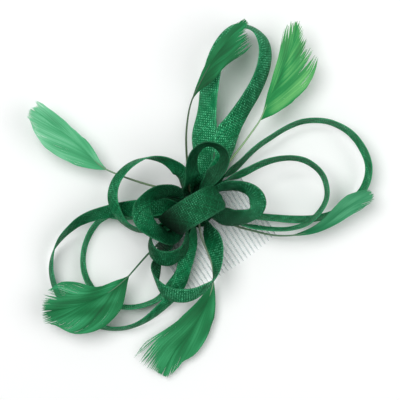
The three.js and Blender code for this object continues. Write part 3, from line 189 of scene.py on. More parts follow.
        [48.79, -42.37, 8.57, -2.02, -4.56, 9.81], [44.79, -39.34, 9.08, -2.25, -4.22, 9.91],
        [40.83, -36.24, 9.38, -2.43, -3.74, 10.05], [36.89, -33.1, 9.5, -2.48, -3.41, 10.16],
        [32.92, -30, 9.54, -2.69, -3.34, 10.13], [29.04, -26.79, 9.49, -2.75, -2.81, 10.27],
        [25.37, -23.34, 9.34, -1.49, -1, 10.15], [21.81, -19.78, 9.13, 0.6, 1.08, 9.5],
        [18.16, -16.31, 8.99, 1.67, 2.03, 8.41], [14.38, -12.99, 8.97, 1.33, 1.54, 7.66],
        [10.55, -9.71, 8.99, 0.46, 0.49, 7.01], [6.8, -6.34, 9, 0.01, -0.01, 6],
    ]),
    "loop_right_inner": (11, [
        [9.3, 0.16, 16, -0.51, -0.05, 5.98], [14.18, 0.62, 16.42, -0.88, -0.98, 6.85],
        [18.94, 1.48, 17.43, -1.37, -2.62, 7.15], [23.69, 1.87, 18.7, -2.38, -2.31, 7.92],
        [28.36, 1.57, 20.29, -2.77, 1.36, 9.15], [33.07, 0.99, 21.67, -1.35, 4.52, 9.65],
        [37.94, 0.38, 22.18, 0.33, 4.88, 9.85], [42.84, -0.24, 21.96, 1.26, 4.26, 10.06],
        [47.73, -0.75, 21.43, 1.49, 4.08, 10.11], [52.6, -1.46, 21.01, 1.24, 3.96, 10.19],
        [57.4, -2.63, 20.99, 1.09, 3.7, 10.3], [62.07, -4.23, 21, 1.29, 3.23, 10.44],
        [66.54, -6.34, 21, 1.53, 2.81, 10.52], [70.73, -8.95, 21, 1.83, 2.54, 10.54],
        [74.53, -12.11, 21, 2.25, 2.19, 10.54], [77.59, -15.98, 21, 2.69, 1.67, 10.53],
        [79.71, -20.43, 21, 2.85, 1.07, 10.57], [81.04, -25.19, 21, 2.73, 0.44, 10.65],
        [81.26, -30.11, 21, 2.78, -0.24, 10.64], [80.18, -34.92, 21, 2.59, -0.86, 10.66],
        [78.17, -39.43, 21, 2.06, -1.23, 10.73], [75.15, -43.32, 21, 1.59, -1.67, 10.76],
        [71.11, -46.14, 21, 1.18, -2.1, 10.73], [66.58, -48.1, 21.01, 0.77, -2.51, 10.68],
        [61.78, -49.29, 20.93, -0.07, -2.69, 10.67], [56.89, -49.82, 20.51, -0.94, -2.78, 10.6],
        [52.01, -49.26, 20.07, -1.38, -2.45, 10.63], [47.28, -47.9, 19.71, -1.56, -1.95, 10.71],
        [42.77, -45.92, 19.34, -1.77, -1.6, 10.74], [38.54, -43.39, 18.94, -1.99, -1.53, 10.71],
        [34.52, -40.53, 18.57, -2.1, -1.46, 10.7], [30.66, -37.47, 18.2, -2.23, -1.43, 10.68],
        [26.92, -34.26, 17.82, -2.51, -1.57, 10.59], [23.29, -30.92, 17.42, -2.41, -1.29, 10.59],
        [19.74, -27.52, 17, -1, 0.2, 10.49], [16.3, -23.98, 16.62, 0.63, 1.46, 10.02],
        [13.12, -20.21, 16.36, 1.21, 1.49, 9.11], [10.14, -16.27, 16.18, 0.87, 0.95, 8.12],
        [7.28, -12.24, 16.05, 0.25, 0.32, 7.12], [4.65, -8.05, 16, -0.03, 0.05, 6],
    ]),
    "loop_right_small": (15, [
        [8.89, -2.72, 23.3, -0.9, -0.16, 5.93], [12.49, -2.08, 23.86, -1.85, -0.67, 6.73],
        [15.58, 0.13, 25.42, -3.65, -0.2, 7.23], [19.21, 0.32, 27.32, -4.18, 4.33, 8.76],
        [22.81, -0.5, 29.18, -3.36, 6.93, 10.66], [26.3, -1.82, 30.95, -1.91, 8.34, 12.32],
        [29.57, -3.83, 32.48, 0.49, 7.88, 12.75], [32.56, -6.46, 33.57, 2.97, 6.63, 12.59],
        [35.11, -9.64, 34.24, 5.77, 5.05, 10.97], [36.84, -13.37, 34.5, 8.76, 2.23, 8.16],
        [37.07, -17.46, 34.27, 9.81, -2.11, 5.57], [35.69, -21.26, 33.54, 9.31, -5.6, 0.53],
        [33.08, -24.25, 32.5, 6.13, -7.06, -5.48], [29.29, -25.2, 31.45, 2.23, -8.38, -8.54],
        [25.33, -24.4, 30.62, -0.61, -9.26, -10.28], [21.53, -22.95, 29.88, -2.51, -10.08, -10.83],
        [17.94, -21.01, 29.18, -4.09, -10.2, -10.21], [14.51, -18.79, 28.54, -5.15, -9.9, -10.02],
        [11.38, -16.19, 27.79, -5.24, -8.4, -9.88], [8.68, -13.2, 26.87, -2.62, -7.02, -8.33],
        [5.97, -10.82, 24.98, 0.45, -4.65, -6.73], [3.78, -8.5, 23.3, 1.91, -2.03, -5.31],
    ]),
    "loop_top_small": (18.5, [
        [0.49, 9.29, 23.3, -1.21, -2.92, 5.1], [1.62, 12.03, 25.14, -4.65, -3.17, 5.32],
        [3.92, 12.93, 28.47, -8.61, -0.66, 7.05], [6.52, 14.42, 31.34, -10.77, -0.73, 11.05],
        [8.97, 16.8, 33.65, -10.97, -1.36, 14.84], [11.07, 20, 35.22, -9.12, -0.42, 16.09],
        [13.38, 23.27, 36.32, -7.63, 1.45, 16.79], [16.25, 26.17, 37.03, -5.76, 3.11, 17.3],
        [19.73, 28.35, 37.52, -3.71, 3.78, 17.72], [23.71, 29.37, 37.91, -1.34, 3.62, 18.09],
        [27.79, 28.86, 38.02, 0.71, 2.69, 18.29], [31.25, 26.66, 38.01, 2.14, 1.69, 18.3],
        [33.66, 23.3, 37.84, 3.9, 0.33, 18.08], [34.79, 19.37, 37.38, 5.2, -2.13, 17.63],
        [33.79, 15.46, 36.86, 4.22, -5.65, 17.1], [30.95, 12.57, 36.08, 1.08, -8.26, 16.52],
        [27.49, 10.66, 34.87, -1.9, -9.28, 15.89], [23.75, 9.56, 33.46, -4.87, -9.91, 14.84],
        [20.25, 8.95, 31.35, -7.12, -10.15, 11.61], [17.16, 8.62, 28.6, -6.31, -8.53, 7.98],
        [14.1, 8.32, 25.82, -4.22, -5.64, 6.47], [10.68, 7.72, 23.59, -2.06, -2.33, 6.59],
        [7.23, 5.85, 22.8, -1.04, -0.56, 5.88],
    ]),
    "loop_centre": (18.7, [
        [1.32, -1.14, 28.4, -1.1, -8.43, -0.1], [5.42, -1.67, 28.78, -1.16, -8.42, -0.2],
        [9.38, -2.28, 29.82, -1.24, -8.61, -0.51], [12.93, -2.94, 31.84, -1.11, -9.22, -0.84],
        [15.84, -3.51, 34.72, -0.65, -11.3, -0.99], [17.3, -3.78, 38.54, -0.01, -14.41, -0.16],
        [16.11, -3.59, 42.42, -0.75, -17.62, 1.12], [12.96, -3.18, 45.07, -1.33, -18.45, 0.96],
        [9.45, -2.86, 47.27, -1.12, -18.66, 0.61], [5.72, -2.62, 49.05, -0.98, -18.67, 0.37],
        [1.73, -2.4, 50.18, -0.88, -18.68, 0.16], [-2.4, -2.22, 50.52, -0.64, -18.69, -0.01],
        [-6.51, -2.11, 49.99, -0.29, -18.7, -0.06], [-10.46, -2.09, 48.75, 0.29, -18.69, -0.35],
        [-14.13, -2.17, 46.81, 1.46, -18.62, -1.02], [-17.29, -2.37, 44.14, 3.31, -18.33, -1.65],
        [-19.57, -2.6, 40.7, 5.61, -17.2, -1.53], [-20.63, -2.8, 36.71, 6.89, -15.48, 0.26],
        [-19.84, -2.86, 32.71, 4.23, -12.93, 2.16], [-16.7, -2.61, 30.12, 1.63, -11.43, 1.06],
        [-12.76, -2.2, 28.9, 1.12, -9.78, 0.15], [-8.66, -1.71, 28.51, 1.1, -9.1, -0.02],
        [-4.54, -1.21, 28.4, 1.04, -8.44, -0.03],
    ]),
    "loop_left_small": (15, [
        [-4.51, 8.13, 23.3, 1.71, -2.38, 5.24], [-6.39, 10.76, 25.1, 4.58, -3.77, 5.15],
        [-7.51, 12.11, 28.88, 9.45, -3.26, 3.92], [-8.32, 14.03, 32.48, 11.69, -2.18, 5.52],
        [-9.9, 16.25, 35.59, 11.82, 0.99, 9.18], [-12.72, 18.48, 37.66, 8.42, 4.03, 11.74],
        [-16.29, 20.27, 38.79, 4.48, 5.83, 13.08], [-20.37, 20.57, 39.35, 0.54, 6.34, 12.15],
        [-24.41, 19.59, 39.51, -2.77, 7.65, 9.1], [-28.06, 17.62, 39.5, -7.05, 8.38, 6.02],
        [-30.6, 14.37, 39.52, -10.95, 5.85, 4.66], [-31.8, 10.4, 39.76, -12.58, 2.32, 5.68],
        [-31.74, 6.28, 40.29, -11.8, -0.98, 8.3], [-30.6, 2.3, 40.5, -9.28, -4.4, 10.64],
        [-28.99, -1.39, 39.52, -6.07, -8.28, 10.94], [-27.37, -4.42, 37.21, -3.51, -11.51, 8.95],
        [-25.84, -6.62, 34.03, -2.32, -12.27, 5.88], [-24.44, -8.22, 30.44, -1.19, -11.38, 3.7],
        [-22.64, -9.28, 26.85, 1.48, -9.83, 2.44], [-19.64, -9.06, 24.13, 4.11, -6.62, 3.94],
        [-16.01, -7.26, 23.32, 2.42, -2.91, 6.87], [-12.44, -5.1, 23.27, 0.44, -0.78, 6.9],
        [-8.68, -3.33, 23.3, -0.03, -0.02, 6],
    ]),
    "loop_left_lower": (15, [
        [-9.19, -1.45, 16, 0.69, 0.09, 5.96], [-13.39, -2.01, 16.49, 1.41, -0.36, 6.98],
        [-17.53, -2.35, 17.64, 2.04, -1.56, 7.98], [-21.73, -2.53, 18.53, 1.94, -2.56, 8.87],
        [-25.95, -2.63, 19.4, 2.73, -3.04, 9.63], [-30, -2.63, 20.84, 4.96, -1.56, 10.81],
        [-33.73, -2.7, 22.96, 7.44, 4, 11.32], [-36.58, -4.17, 25.71, 6.46, 6.73, 11.75],
        [-38.08, -7.39, 28.05, 4.76, 4.4, 13.53], [-38.45, -11.57, 28.78, 6.77, 2.05, 13.23],
        [-37.09, -15.62, 28.81, 8.57, 4.95, 11.27], [-34.27, -18.84, 28.79, 6.83, 8.12, 10.6],
        [-30.48, -20.78, 28.5, 4.27, 8.67, 11.47], [-26.31, -21.22, 27.62, 2.5, 7.56, 11.35],
        [-22.25, -20.46, 26.47, 0.81, 5.73, 10.76], [-18.7, -18.3, 25.49, -0.19, 3.62, 10.18],
        [-15.8, -15.21, 24.73, -0.18, 2.21, 9.31], [-13.19, -11.86, 24.07, 0.09, 1.41, 8.23],
        [-10.56, -8.5, 23.51, 0.24, 0.64, 7.08], [-7.43, -5.6, 23.3, 0.22, 0.21, 5.99],
    ]),
    "loop_bottom": (15, [
        [-8.29, -4.22, 16, -0.3, -0.12, 5.99], [-12.85, -6.08, 15.73, -0.42, -0.68, 7.01],
        [-17.58, -7.41, 15.13, -0.41, -1.88, 7.73], [-22.32, -8.74, 14.58, 0.05, -2.99, 8.35],
        [-27.07, -10.11, 14.23, 0.82, -4.39, 9.64], [-31.76, -11.69, 14.04, 2.04, -5.14, 11.25],
        [-36.05, -14.14, 14.01, 1.85, -2.25, 13.54], [-39.78, -17.39, 14.19, -2.03, 4.4, 13.73],
        [-43.24, -20.8, 15.08, -2.31, 7.86, 12.57], [-45.91, -24.25, 17.35, -0.4, 8.41, 12.41],
        [-47.25, -28.21, 19.98, 2.15, 7.26, 12.95], [-47.42, -32.58, 22.28, 4.67, 6.58, 12.64],
        [-46.16, -36.96, 24.13, 5.69, 6.8, 12.09], [-43.43, -40.95, 25.11, 6.25, 7.24, 11.56],
        [-39.77, -44.27, 25.26, 6.01, 7.51, 11.51], [-35.6, -46.91, 24.91, 5.28, 7.82, 11.66],
        [-30.99, -48.47, 24.1, 3.87, 7.36, 12.49], [-26.15, -48.99, 23.2, 2.7, 6.08, 13.44],
        [-21.28, -48.86, 22.32, 1.59, 4.76, 14.14], [-16.51, -47.76, 21.7, 1.3, 1, 14.91],
        [-12.34, -45.16, 21.3, 3.33, -1.74, 14.52], [-8.99, -41.57, 20.72, 5.43, -1.88, 13.85],
        [-6.22, -37.54, 19.93, 7.73, -2.26, 12.65], [-4.13, -33.11, 19.26, 9.88, -2.42, 11.02],
        [-2.48, -28.49, 18.56, 11.55, -1.84, 9.39], [-1.45, -23.71, 17.81, 11.17, -0.39, 9.11],
        [-0.91, -18.85, 17.05, 6.88, 0.27, 10.01], [0.34, -14.11, 16.32, 2.12, 0.52, 8.19],
        [0.81, -9.26, 16, 0.04, 0.39, 5.99],
    ]),
}

# a feather: the shaft from the core to the tip, where its vane starts, and rows of shaft point with the left and right reach
FEATHERS = {
    "feather_upper_left": {"ib": 35, "path": [
        [-4.22, 8.29, 15], [-4.89, 9.64, 15.01], [-5.63, 10.95, 14.96], [-6.37, 12.26, 14.91], [-7.12, 13.56, 14.85],
        [-7.89, 14.86, 14.79], [-8.66, 16.15, 14.74], [-9.45, 17.43, 14.69], [-10.26, 18.7, 14.65],
        [-11.09, 19.95, 14.63], [-11.97, 21.17, 14.65], [-12.88, 22.37, 14.7], [-13.82, 23.53, 14.79],
        [-14.8, 24.67, 14.92], [-15.79, 25.79, 15.08], [-16.79, 26.9, 15.25], [-17.79, 28.02, 15.42],
        [-18.78, 29.14, 15.59], [-19.76, 30.27, 15.75], [-20.73, 31.41, 15.9], [-21.7, 32.56, 16.05],
        [-22.65, 33.72, 16.19], [-23.6, 34.88, 16.32], [-24.54, 36.05, 16.46], [-25.47, 37.23, 16.58],
        [-26.39, 38.41, 16.7], [-27.31, 39.6, 16.8], [-28.21, 40.8, 16.88], [-29.1, 42.02, 16.94],
        [-29.97, 43.24, 16.97], [-30.84, 44.47, 16.99], [-31.7, 45.71, 17], [-32.56, 46.95, 17],
        [-33.4, 48.2, 17.01], [-34.23, 49.45, 17.03], [-35.01, 50.73, 17.09], [-35.72, 52.05, 17.18],
        [-36.35, 53.4, 17.31], [-36.9, 54.78, 17.47], [-37.4, 56.19, 17.64], [-37.85, 57.62, 17.82],
        [-38.25, 59.05, 18], [-38.61, 60.5, 18.19], [-38.94, 61.96, 18.37], [-39.25, 63.42, 18.55],
        [-39.55, 64.89, 18.73], [-39.86, 66.35, 18.91], [-40.17, 67.81, 19.09], [-40.5, 69.27, 19.28],
        [-40.83, 70.73, 19.46], [-41.18, 72.18, 19.65], [-41.55, 73.63, 19.83], [-41.93, 75.08, 20.02],
        [-42.32, 76.52, 20.2], [-42.73, 77.96, 20.38], [-43.15, 79.39, 20.55], [-43.59, 80.82, 20.73],
        [-44.03, 82.25, 20.9], [-44.49, 83.68, 21.07], [-44.97, 85.1, 21.24], [-45.45, 86.51, 21.4],
        [-45.95, 87.92, 21.57], [-46.44, 89.34, 21.74], [-46.94, 90.75, 21.9], [-47.43, 92.16, 22.07],
        [-47.93, 93.58, 22.25], [-48.42, 94.99, 22.42], [-48.91, 96.4, 22.58], [-49.4, 97.82, 22.74],
        [-49.9, 99.23, 22.89], [-50.4, 100.64, 23.02], [-50.91, 102.06, 23.14], [-51.43, 103.47, 23.24],
        [-51.94, 104.88, 23.33], [-52.46, 106.29, 23.41], [-52.98, 107.7, 23.5],
    ], "rows": [
        [-4.22, 8.29, 15, 0.8, 0.8], [-7.41, 14.04, 14.83, 0.8, 0.8], [-10.88, 19.63, 14.63, 0.8, 0.8],
        [-14.92, 24.81, 14.94, 0.8, 0.8], [-19.27, 29.7, 15.67, 0.8, 0.8], [-23.48, 34.73, 16.31, 0.8, 0.8],
        [-27.53, 39.9, 16.82, 0.8, 0.8], [-31.37, 45.24, 17, 0.8, 0.8], [-35.01, 50.73, 17.09, 0.8, 0.8],
        [-37.6, 56.85, 17.73, 4.53, 2.07], [-39.22, 63.28, 18.53, 9.28, 4.19], [-40.61, 69.78, 19.34, 12.74, 5.5],
        [-42.24, 76.22, 20.16, 14.8, 5.66], [-44.14, 82.58, 20.94, 15.87, 6.07], [-46.28, 88.88, 21.68, 15.62, 6.85],
        [-48.47, 95.15, 22.44, 13.69, 6.91], [-50.69, 101.43, 23.09, 11.12, 6.59], [-52.98, 107.7, 23.5, 3.6, 3.65],
    ], "outline": [
        [-35.26, 51.09], [-35.66, 57.27], [-35.03, 65.83], [-35.34, 72.94], [-37.23, 79.17], [-38.71, 86.02],
        [-40.18, 92.85], [-42.76, 99.54], [-45.05, 105], [-46.78, 110.06], [-49.05, 112.55], [-50.12, 109.35],
        [-55.05, 109.44], [-58.83, 107.45], [-59.43, 103.41], [-61.12, 98.61], [-61.4, 90.81], [-61.34, 84.77],
        [-59.17, 77.46], [-55.69, 70.7], [-50.59, 63.42], [-44.49, 57.53], [-38.65, 52.74],
    ]},
    "feather_top_right": {"ib": 41, "path": [
        [8.74, 3.18, 14.5], [10.14, 3.71, 14.49], [11.57, 4.15, 14.51], [13, 4.59, 14.54], [14.43, 5.03, 14.56],
        [15.87, 5.46, 14.59], [17.3, 5.89, 14.62], [18.74, 6.31, 14.66], [20.18, 6.73, 14.7], [21.61, 7.15, 14.74],
        [23.05, 7.57, 14.8], [24.48, 8, 14.86], [25.91, 8.44, 14.94], [27.34, 8.89, 15.03], [28.76, 9.34, 15.14],
        [30.18, 9.81, 15.26], [31.59, 10.28, 15.4], [33.01, 10.76, 15.54], [34.42, 11.24, 15.7],
        [35.82, 11.72, 15.86], [37.23, 12.21, 16.02], [38.64, 12.69, 16.18], [40.05, 13.18, 16.34],
        [41.46, 13.66, 16.5], [42.86, 14.15, 16.65], [44.27, 14.64, 16.81], [45.68, 15.14, 16.96],
        [47.08, 15.64, 17.11], [48.48, 16.14, 17.25], [49.88, 16.65, 17.4], [51.28, 17.17, 17.54],
        [52.68, 17.69, 17.68], [54.07, 18.22, 17.81], [55.47, 18.75, 17.95], [56.86, 19.28, 18.08],
        [58.25, 19.82, 18.21], [59.64, 20.36, 18.34], [61.03, 20.9, 18.47], [62.42, 21.44, 18.6],
        [63.81, 21.99, 18.73], [65.18, 22.57, 18.85], [66.51, 23.21, 18.97], [67.81, 23.93, 19.08],
        [69.07, 24.72, 19.19], [70.31, 25.54, 19.31], [71.54, 26.39, 19.43], [72.77, 27.23, 19.57],
        [74, 28.07, 19.71], [75.23, 28.91, 19.86], [76.46, 29.75, 20.01], [77.7, 30.59, 20.15], [78.93, 31.43, 20.3],
        [80.16, 32.26, 20.45], [81.4, 33.09, 20.61], [82.64, 33.92, 20.76], [83.89, 34.74, 20.91],
        [85.14, 35.55, 21.06], [86.39, 36.35, 21.22], [87.65, 37.15, 21.38], [88.91, 37.95, 21.53],
        [90.17, 38.74, 21.68], [91.44, 39.53, 21.81], [92.7, 40.31, 21.94], [93.97, 41.1, 22.05],
        [95.24, 41.89, 22.14], [96.51, 42.68, 22.22], [97.78, 43.47, 22.29], [99.05, 44.27, 22.36],
        [100.31, 45.08, 22.43], [101.56, 45.89, 22.5], [102.8, 46.73, 22.58], [104.04, 47.57, 22.66],
        [105.26, 48.43, 22.74], [106.48, 49.3, 22.81], [107.68, 50.19, 22.89], [108.86, 51.1, 22.95],
        [110.03, 52.04, 23.01], [111.18, 52.99, 23.06], [112.31, 53.98, 23.1], [113.42, 54.98, 23.13],
        [114.52, 56, 23.16], [115.6, 57.03, 23.18], [116.66, 58.08, 23.2], [117.71, 59.15, 23.2],
        [118.75, 60.23, 23.2], [119.77, 61.33, 23.2],
    ], "rows": [
        [8.74, 3.18, 14.5, 0.8, 0.8], [16.05, 5.51, 14.59, 0.8, 0.8], [23.4, 7.68, 14.81, 0.8, 0.8],
        [30.7, 9.98, 15.31, 0.8, 0.8], [37.93, 12.45, 16.1, 0.8, 0.8], [45.14, 14.95, 16.9, 0.8, 0.8],
        [52.32, 17.55, 17.64, 0.8, 0.8], [59.45, 20.29, 18.32, 0.8, 0.8], [66.51, 23.21, 18.97, 0.8, 0.8],
        [72.65, 27.15, 19.56, 0.98, 6.99], [78.67, 31.25, 20.27, 2.43, 12.64], [84.73, 35.29, 21.01, 3.64, 17.29],
        [90.88, 39.18, 21.75, 5.02, 20.46], [97.08, 43.03, 22.25, 6.39, 21.57], [103.21, 47.01, 22.61, 7.5, 20.28],
        [109.12, 51.31, 22.96, 8.36, 13.09], [114.64, 56.11, 23.16, 8.45, 6.53], [119.77, 61.33, 23.2, 3.25, 1.32],
    ], "outline": [
        [67.56, 23.02], [71.13, 26.95], [76.92, 32.91], [84.53, 40], [91.88, 46.84], [98.91, 53.14], [105.25, 59.1],
        [111.04, 64.19], [114.94, 65.63], [117.54, 64.96], [122.41, 61.79], [120.35, 57.06], [118.87, 50.23],
        [115.66, 44.54], [118.56, 44.45], [116.6, 39.26], [118.94, 34.23], [113.93, 29.58], [109.72, 25.38],
        [103.77, 22.27], [96.97, 20.83], [87.95, 20.67], [78.24, 21.12], [70.87, 21.97],
    ]},
    "feather_bottom": {"ib": 28, "path": [
        [-2.56, -8.94, 8], [-2.93, -10.38, 7.99], [-3.58, -11.72, 8.05], [-4.23, -13.06, 8.12], [-4.88, -14.4, 8.19],
        [-5.52, -15.74, 8.26], [-6.11, -17.11, 8.32], [-6.64, -18.49, 8.38], [-7.1, -19.9, 8.43],
        [-7.48, -21.34, 8.46], [-7.79, -22.79, 8.48], [-8.08, -24.25, 8.49], [-8.34, -25.72, 8.5],
        [-8.6, -27.19, 8.5], [-8.85, -28.65, 8.5], [-9.11, -30.12, 8.5], [-9.37, -31.59, 8.5], [-9.65, -33.05, 8.5],
        [-9.95, -34.51, 8.5], [-10.28, -35.96, 8.5], [-10.67, -37.39, 8.5], [-11.12, -38.81, 8.5],
        [-11.64, -40.2, 8.5], [-12.22, -41.57, 8.5], [-12.85, -42.92, 8.5], [-13.54, -44.23, 8.5],
        [-14.27, -45.53, 8.5], [-15.06, -46.79, 8.5], [-15.9, -48.02, 8.5], [-16.8, -49.19, 8.49],
        [-17.77, -50.32, 8.48], [-18.79, -51.4, 8.45], [-19.85, -52.44, 8.41], [-20.95, -53.45, 8.36],
        [-22.06, -54.43, 8.31], [-23.2, -55.39, 8.25], [-24.36, -56.32, 8.21], [-25.54, -57.23, 8.17],
        [-26.74, -58.11, 8.13], [-27.96, -58.96, 8.09], [-29.2, -59.79, 8.06], [-30.46, -60.58, 8.03],
        [-31.74, -61.34, 7.99], [-33.03, -62.08, 7.96], [-34.35, -62.78, 7.93], [-35.67, -63.46, 7.9],
        [-37.01, -64.11, 7.87], [-38.35, -64.76, 7.83], [-39.7, -65.39, 7.8], [-41.05, -66.02, 7.76],
        [-42.41, -66.63, 7.72], [-43.77, -67.23, 7.67], [-45.14, -67.82, 7.63], [-46.52, -68.38, 7.57],
        [-47.9, -68.93, 7.52], [-49.3, -69.44, 7.45], [-50.71, -69.93, 7.38], [-52.12, -70.39, 7.31],
        [-53.54, -70.85, 7.23], [-54.95, -71.29, 7.15], [-56.37, -71.74, 7.06], [-57.79, -72.19, 6.98],
        [-59.21, -72.65, 6.9], [-60.62, -73.11, 6.82], [-62.03, -73.59, 6.74], [-63.43, -74.1, 6.66],
        [-64.81, -74.65, 6.58], [-66.16, -75.25, 6.5], [-67.49, -75.91, 6.42], [-68.8, -76.62, 6.33],
        [-70.08, -77.37, 6.25], [-71.35, -78.14, 6.17], [-72.62, -78.93, 6.08], [-73.89, -79.7, 6],
    ], "rows": [
        [-2.56, -8.94, 8, 0.8, 0.8], [-4.55, -13.72, 8.15, 0.8, 0.8], [-6.64, -18.49, 8.38, 0.8, 0.8],
        [-7.94, -23.52, 8.49, 0.8, 0.8], [-8.85, -28.65, 8.5, 0.8, 0.8], [-9.79, -33.77, 8.5, 0.8, 0.8],
        [-11.12, -38.8, 8.5, 0.8, 0.8], [-13.19, -43.57, 8.5, 0.8, 0.8], [-15.9, -48.02, 8.5, 0.8, 0.8],
        [-20.41, -52.95, 8.38, 2.14, 2.93], [-25.55, -57.24, 8.17, 5.13, 5.17], [-31.11, -60.97, 8.01, 7.85, 7.28],
        [-37.02, -64.12, 7.87, 10.39, 9.27], [-43.1, -66.93, 7.69, 12.12, 11.24],
        [-49.3, -69.44, 7.45, 12.67, 13.21], [-55.66, -71.52, 7.1, 12.38, 15.45],
        [-62.02, -73.59, 6.74, 10.38, 18.57], [-68.15, -76.26, 6.37, 8.04, 25.12], [-73.89, -79.7, 6, 3.15, 12.51],
    ], "outline": [
        [-15.63, -47.81], [-16.44, -49.66], [-19.49, -55.58], [-22.55, -61.49], [-27.63, -68.47], [-32.29, -73.35],
        [-37.68, -77.75], [-43.83, -80.89], [-49.15, -83.01], [-56.51, -83.76], [-61.67, -82.44], [-66.88, -84.25],
        [-72.25, -84.72], [-78.44, -84.88], [-79.91, -80.93], [-80.9, -76.25], [-84.19, -72.06], [-85.65, -68.1],
        [-86.9, -62.23], [-85.06, -59.39], [-82.21, -57.21], [-80.32, -53.72], [-73.57, -55.74], [-64.13, -56.69],
        [-54.25, -57.06], [-45.83, -56.5], [-38.07, -55.37], [-31.08, -53.97], [-22.85, -51.02],
    ]},
    "feather_lower_left": {"ib": 37, "path": [
        [-9.16, -1.61, 8], [-10.65, -1.83, 8.03], [-12.06, -2.3, 7.87], [-13.48, -2.78, 7.71], [-14.89, -3.26, 7.54],
        [-16.31, -3.75, 7.37], [-17.72, -4.23, 7.19], [-19.14, -4.69, 7.01], [-20.57, -5.13, 6.84],
        [-22, -5.54, 6.68], [-23.45, -5.94, 6.53], [-24.89, -6.32, 6.4], [-26.35, -6.68, 6.29],
        [-27.81, -7.03, 6.19], [-29.27, -7.37, 6.12], [-30.73, -7.7, 6.07], [-32.2, -8.03, 6.04],
        [-33.67, -8.35, 6.05], [-35.14, -8.66, 6.08], [-36.61, -8.98, 6.14], [-38.07, -9.29, 6.25],
        [-39.53, -9.61, 6.39], [-40.98, -9.94, 6.59], [-42.42, -10.28, 6.84], [-43.85, -10.62, 7.13],
        [-45.27, -10.98, 7.48], [-46.67, -11.33, 7.89], [-48.05, -11.7, 8.34], [-49.42, -12.06, 8.85],
        [-50.75, -12.43, 9.42], [-52.07, -12.8, 10.05], [-53.35, -13.17, 10.72], [-54.61, -13.54, 11.45],
        [-55.85, -13.92, 12.22], [-57.07, -14.29, 13.01], [-58.28, -14.67, 13.82], [-59.49, -15.03, 14.61],
        [-60.74, -15.36, 15.35], [-62.05, -15.64, 16], [-63.41, -15.9, 16.53], [-64.82, -16.12, 16.95],
        [-66.26, -16.34, 17.27], [-67.72, -16.56, 17.52], [-69.2, -16.75, 17.74], [-70.67, -16.93, 17.94],
        [-72.15, -17.08, 18.15], [-73.64, -17.19, 18.35], [-75.12, -17.28, 18.56], [-76.61, -17.32, 18.75],
        [-78.1, -17.33, 18.93], [-79.6, -17.31, 19.07], [-81.09, -17.24, 19.2], [-82.59, -17.14, 19.3],
        [-84.08, -17.01, 19.38], [-85.57, -16.83, 19.44], [-87.06, -16.61, 19.49], [-88.54, -16.36, 19.52],
        [-90.01, -16.07, 19.54], [-91.48, -15.74, 19.54], [-92.94, -15.39, 19.52], [-94.39, -15.01, 19.49],
        [-95.84, -14.61, 19.44], [-97.28, -14.18, 19.37], [-98.71, -13.73, 19.29], [-100.14, -13.27, 19.21],
        [-101.56, -12.79, 19.11], [-102.98, -12.3, 19.02], [-104.39, -11.8, 18.93], [-105.8, -11.28, 18.84],
        [-107.2, -10.75, 18.74], [-108.6, -10.19, 18.65], [-109.98, -9.61, 18.55], [-111.35, -8.99, 18.45],
        [-112.7, -8.35, 18.34], [-114.04, -7.67, 18.23], [-115.37, -6.99, 18.11], [-116.7, -6.29, 18],
    ], "rows": [
        [-9.16, -1.61, 8, 0.8, 0.8], [-15.77, -3.56, 7.43, 0.8, 0.8], [-22.35, -5.64, 6.64, 0.8, 0.8],
        [-29.07, -7.32, 6.13, 0.8, 0.8], [-35.85, -8.81, 6.11, 0.8, 0.8], [-42.58, -10.32, 6.87, 0.8, 0.8],
        [-49.05, -11.97, 8.72, 0.8, 0.8], [-55.06, -13.68, 11.73, 0.8, 0.8], [-60.74, -15.36, 15.35, 0.8, 0.8],
        [-67.6, -16.54, 17.5, 5.5, 3.12], [-74.8, -17.26, 18.52, 12.8, 5.24], [-82.07, -17.18, 19.26, 18.04, 7.37],
        [-89.31, -16.2, 19.53, 20.8, 12.82], [-96.41, -14.44, 19.41, 21.11, 17.49],
        [-103.35, -12.17, 19, 19.33, 19.27], [-110.16, -9.53, 18.54, 13.94, 17.48], [-116.7, -6.29, 18, 4.79, 5.98],
    ], "outline": [
        [-61.4, -15.66], [-66.8, -13.72], [-72.21, -12.5], [-77.79, -11.55], [-82.58, -9.35], [-86.01, -5.01],
        [-88.35, -1.38], [-91.44, 2.27], [-95.08, 5.15], [-99.29, 7.1], [-104.6, 6.23], [-107.55, 5.37],
        [-110.99, 3.7], [-114.8, 2.65], [-116.59, -0.1], [-118.83, -2.95], [-120.26, -5.15], [-121.95, -8.36],
        [-123.19, -11.47], [-121.17, -13.17], [-118.4, -17.43], [-115.91, -22.02], [-113.49, -26.72],
        [-109.2, -31.02], [-103.48, -34.3], [-98.37, -36.06], [-93.27, -36.64], [-88.62, -36.69], [-83.87, -35.36],
        [-79.71, -33.76], [-76.55, -31.91], [-73.37, -29.35], [-70.32, -25.85], [-66.81, -21.94], [-63.29, -17.96],
    ]},
    "feather_top": {"ib": 40, "path": [
        [2.72, 8.89, 17], [3.12, 10.34, 16.91], [3.73, 11.62, 17.41], [4.34, 12.89, 17.92], [4.97, 14.15, 18.44],
        [5.62, 15.4, 18.95], [6.29, 16.65, 19.45], [6.99, 17.9, 19.9], [7.7, 19.16, 20.29], [8.42, 20.42, 20.64],
        [9.15, 21.7, 20.93], [9.89, 22.98, 21.2], [10.62, 24.27, 21.45], [11.36, 25.55, 21.69],
        [12.09, 26.84, 21.94], [12.82, 28.13, 22.2], [13.54, 29.42, 22.48], [14.26, 30.7, 22.76],
        [14.99, 31.99, 23.05], [15.72, 33.26, 23.35], [16.47, 34.53, 23.65], [17.23, 35.79, 23.96],
        [18, 37.04, 24.26], [18.8, 38.28, 24.56], [19.61, 39.51, 24.87], [20.44, 40.72, 25.17],
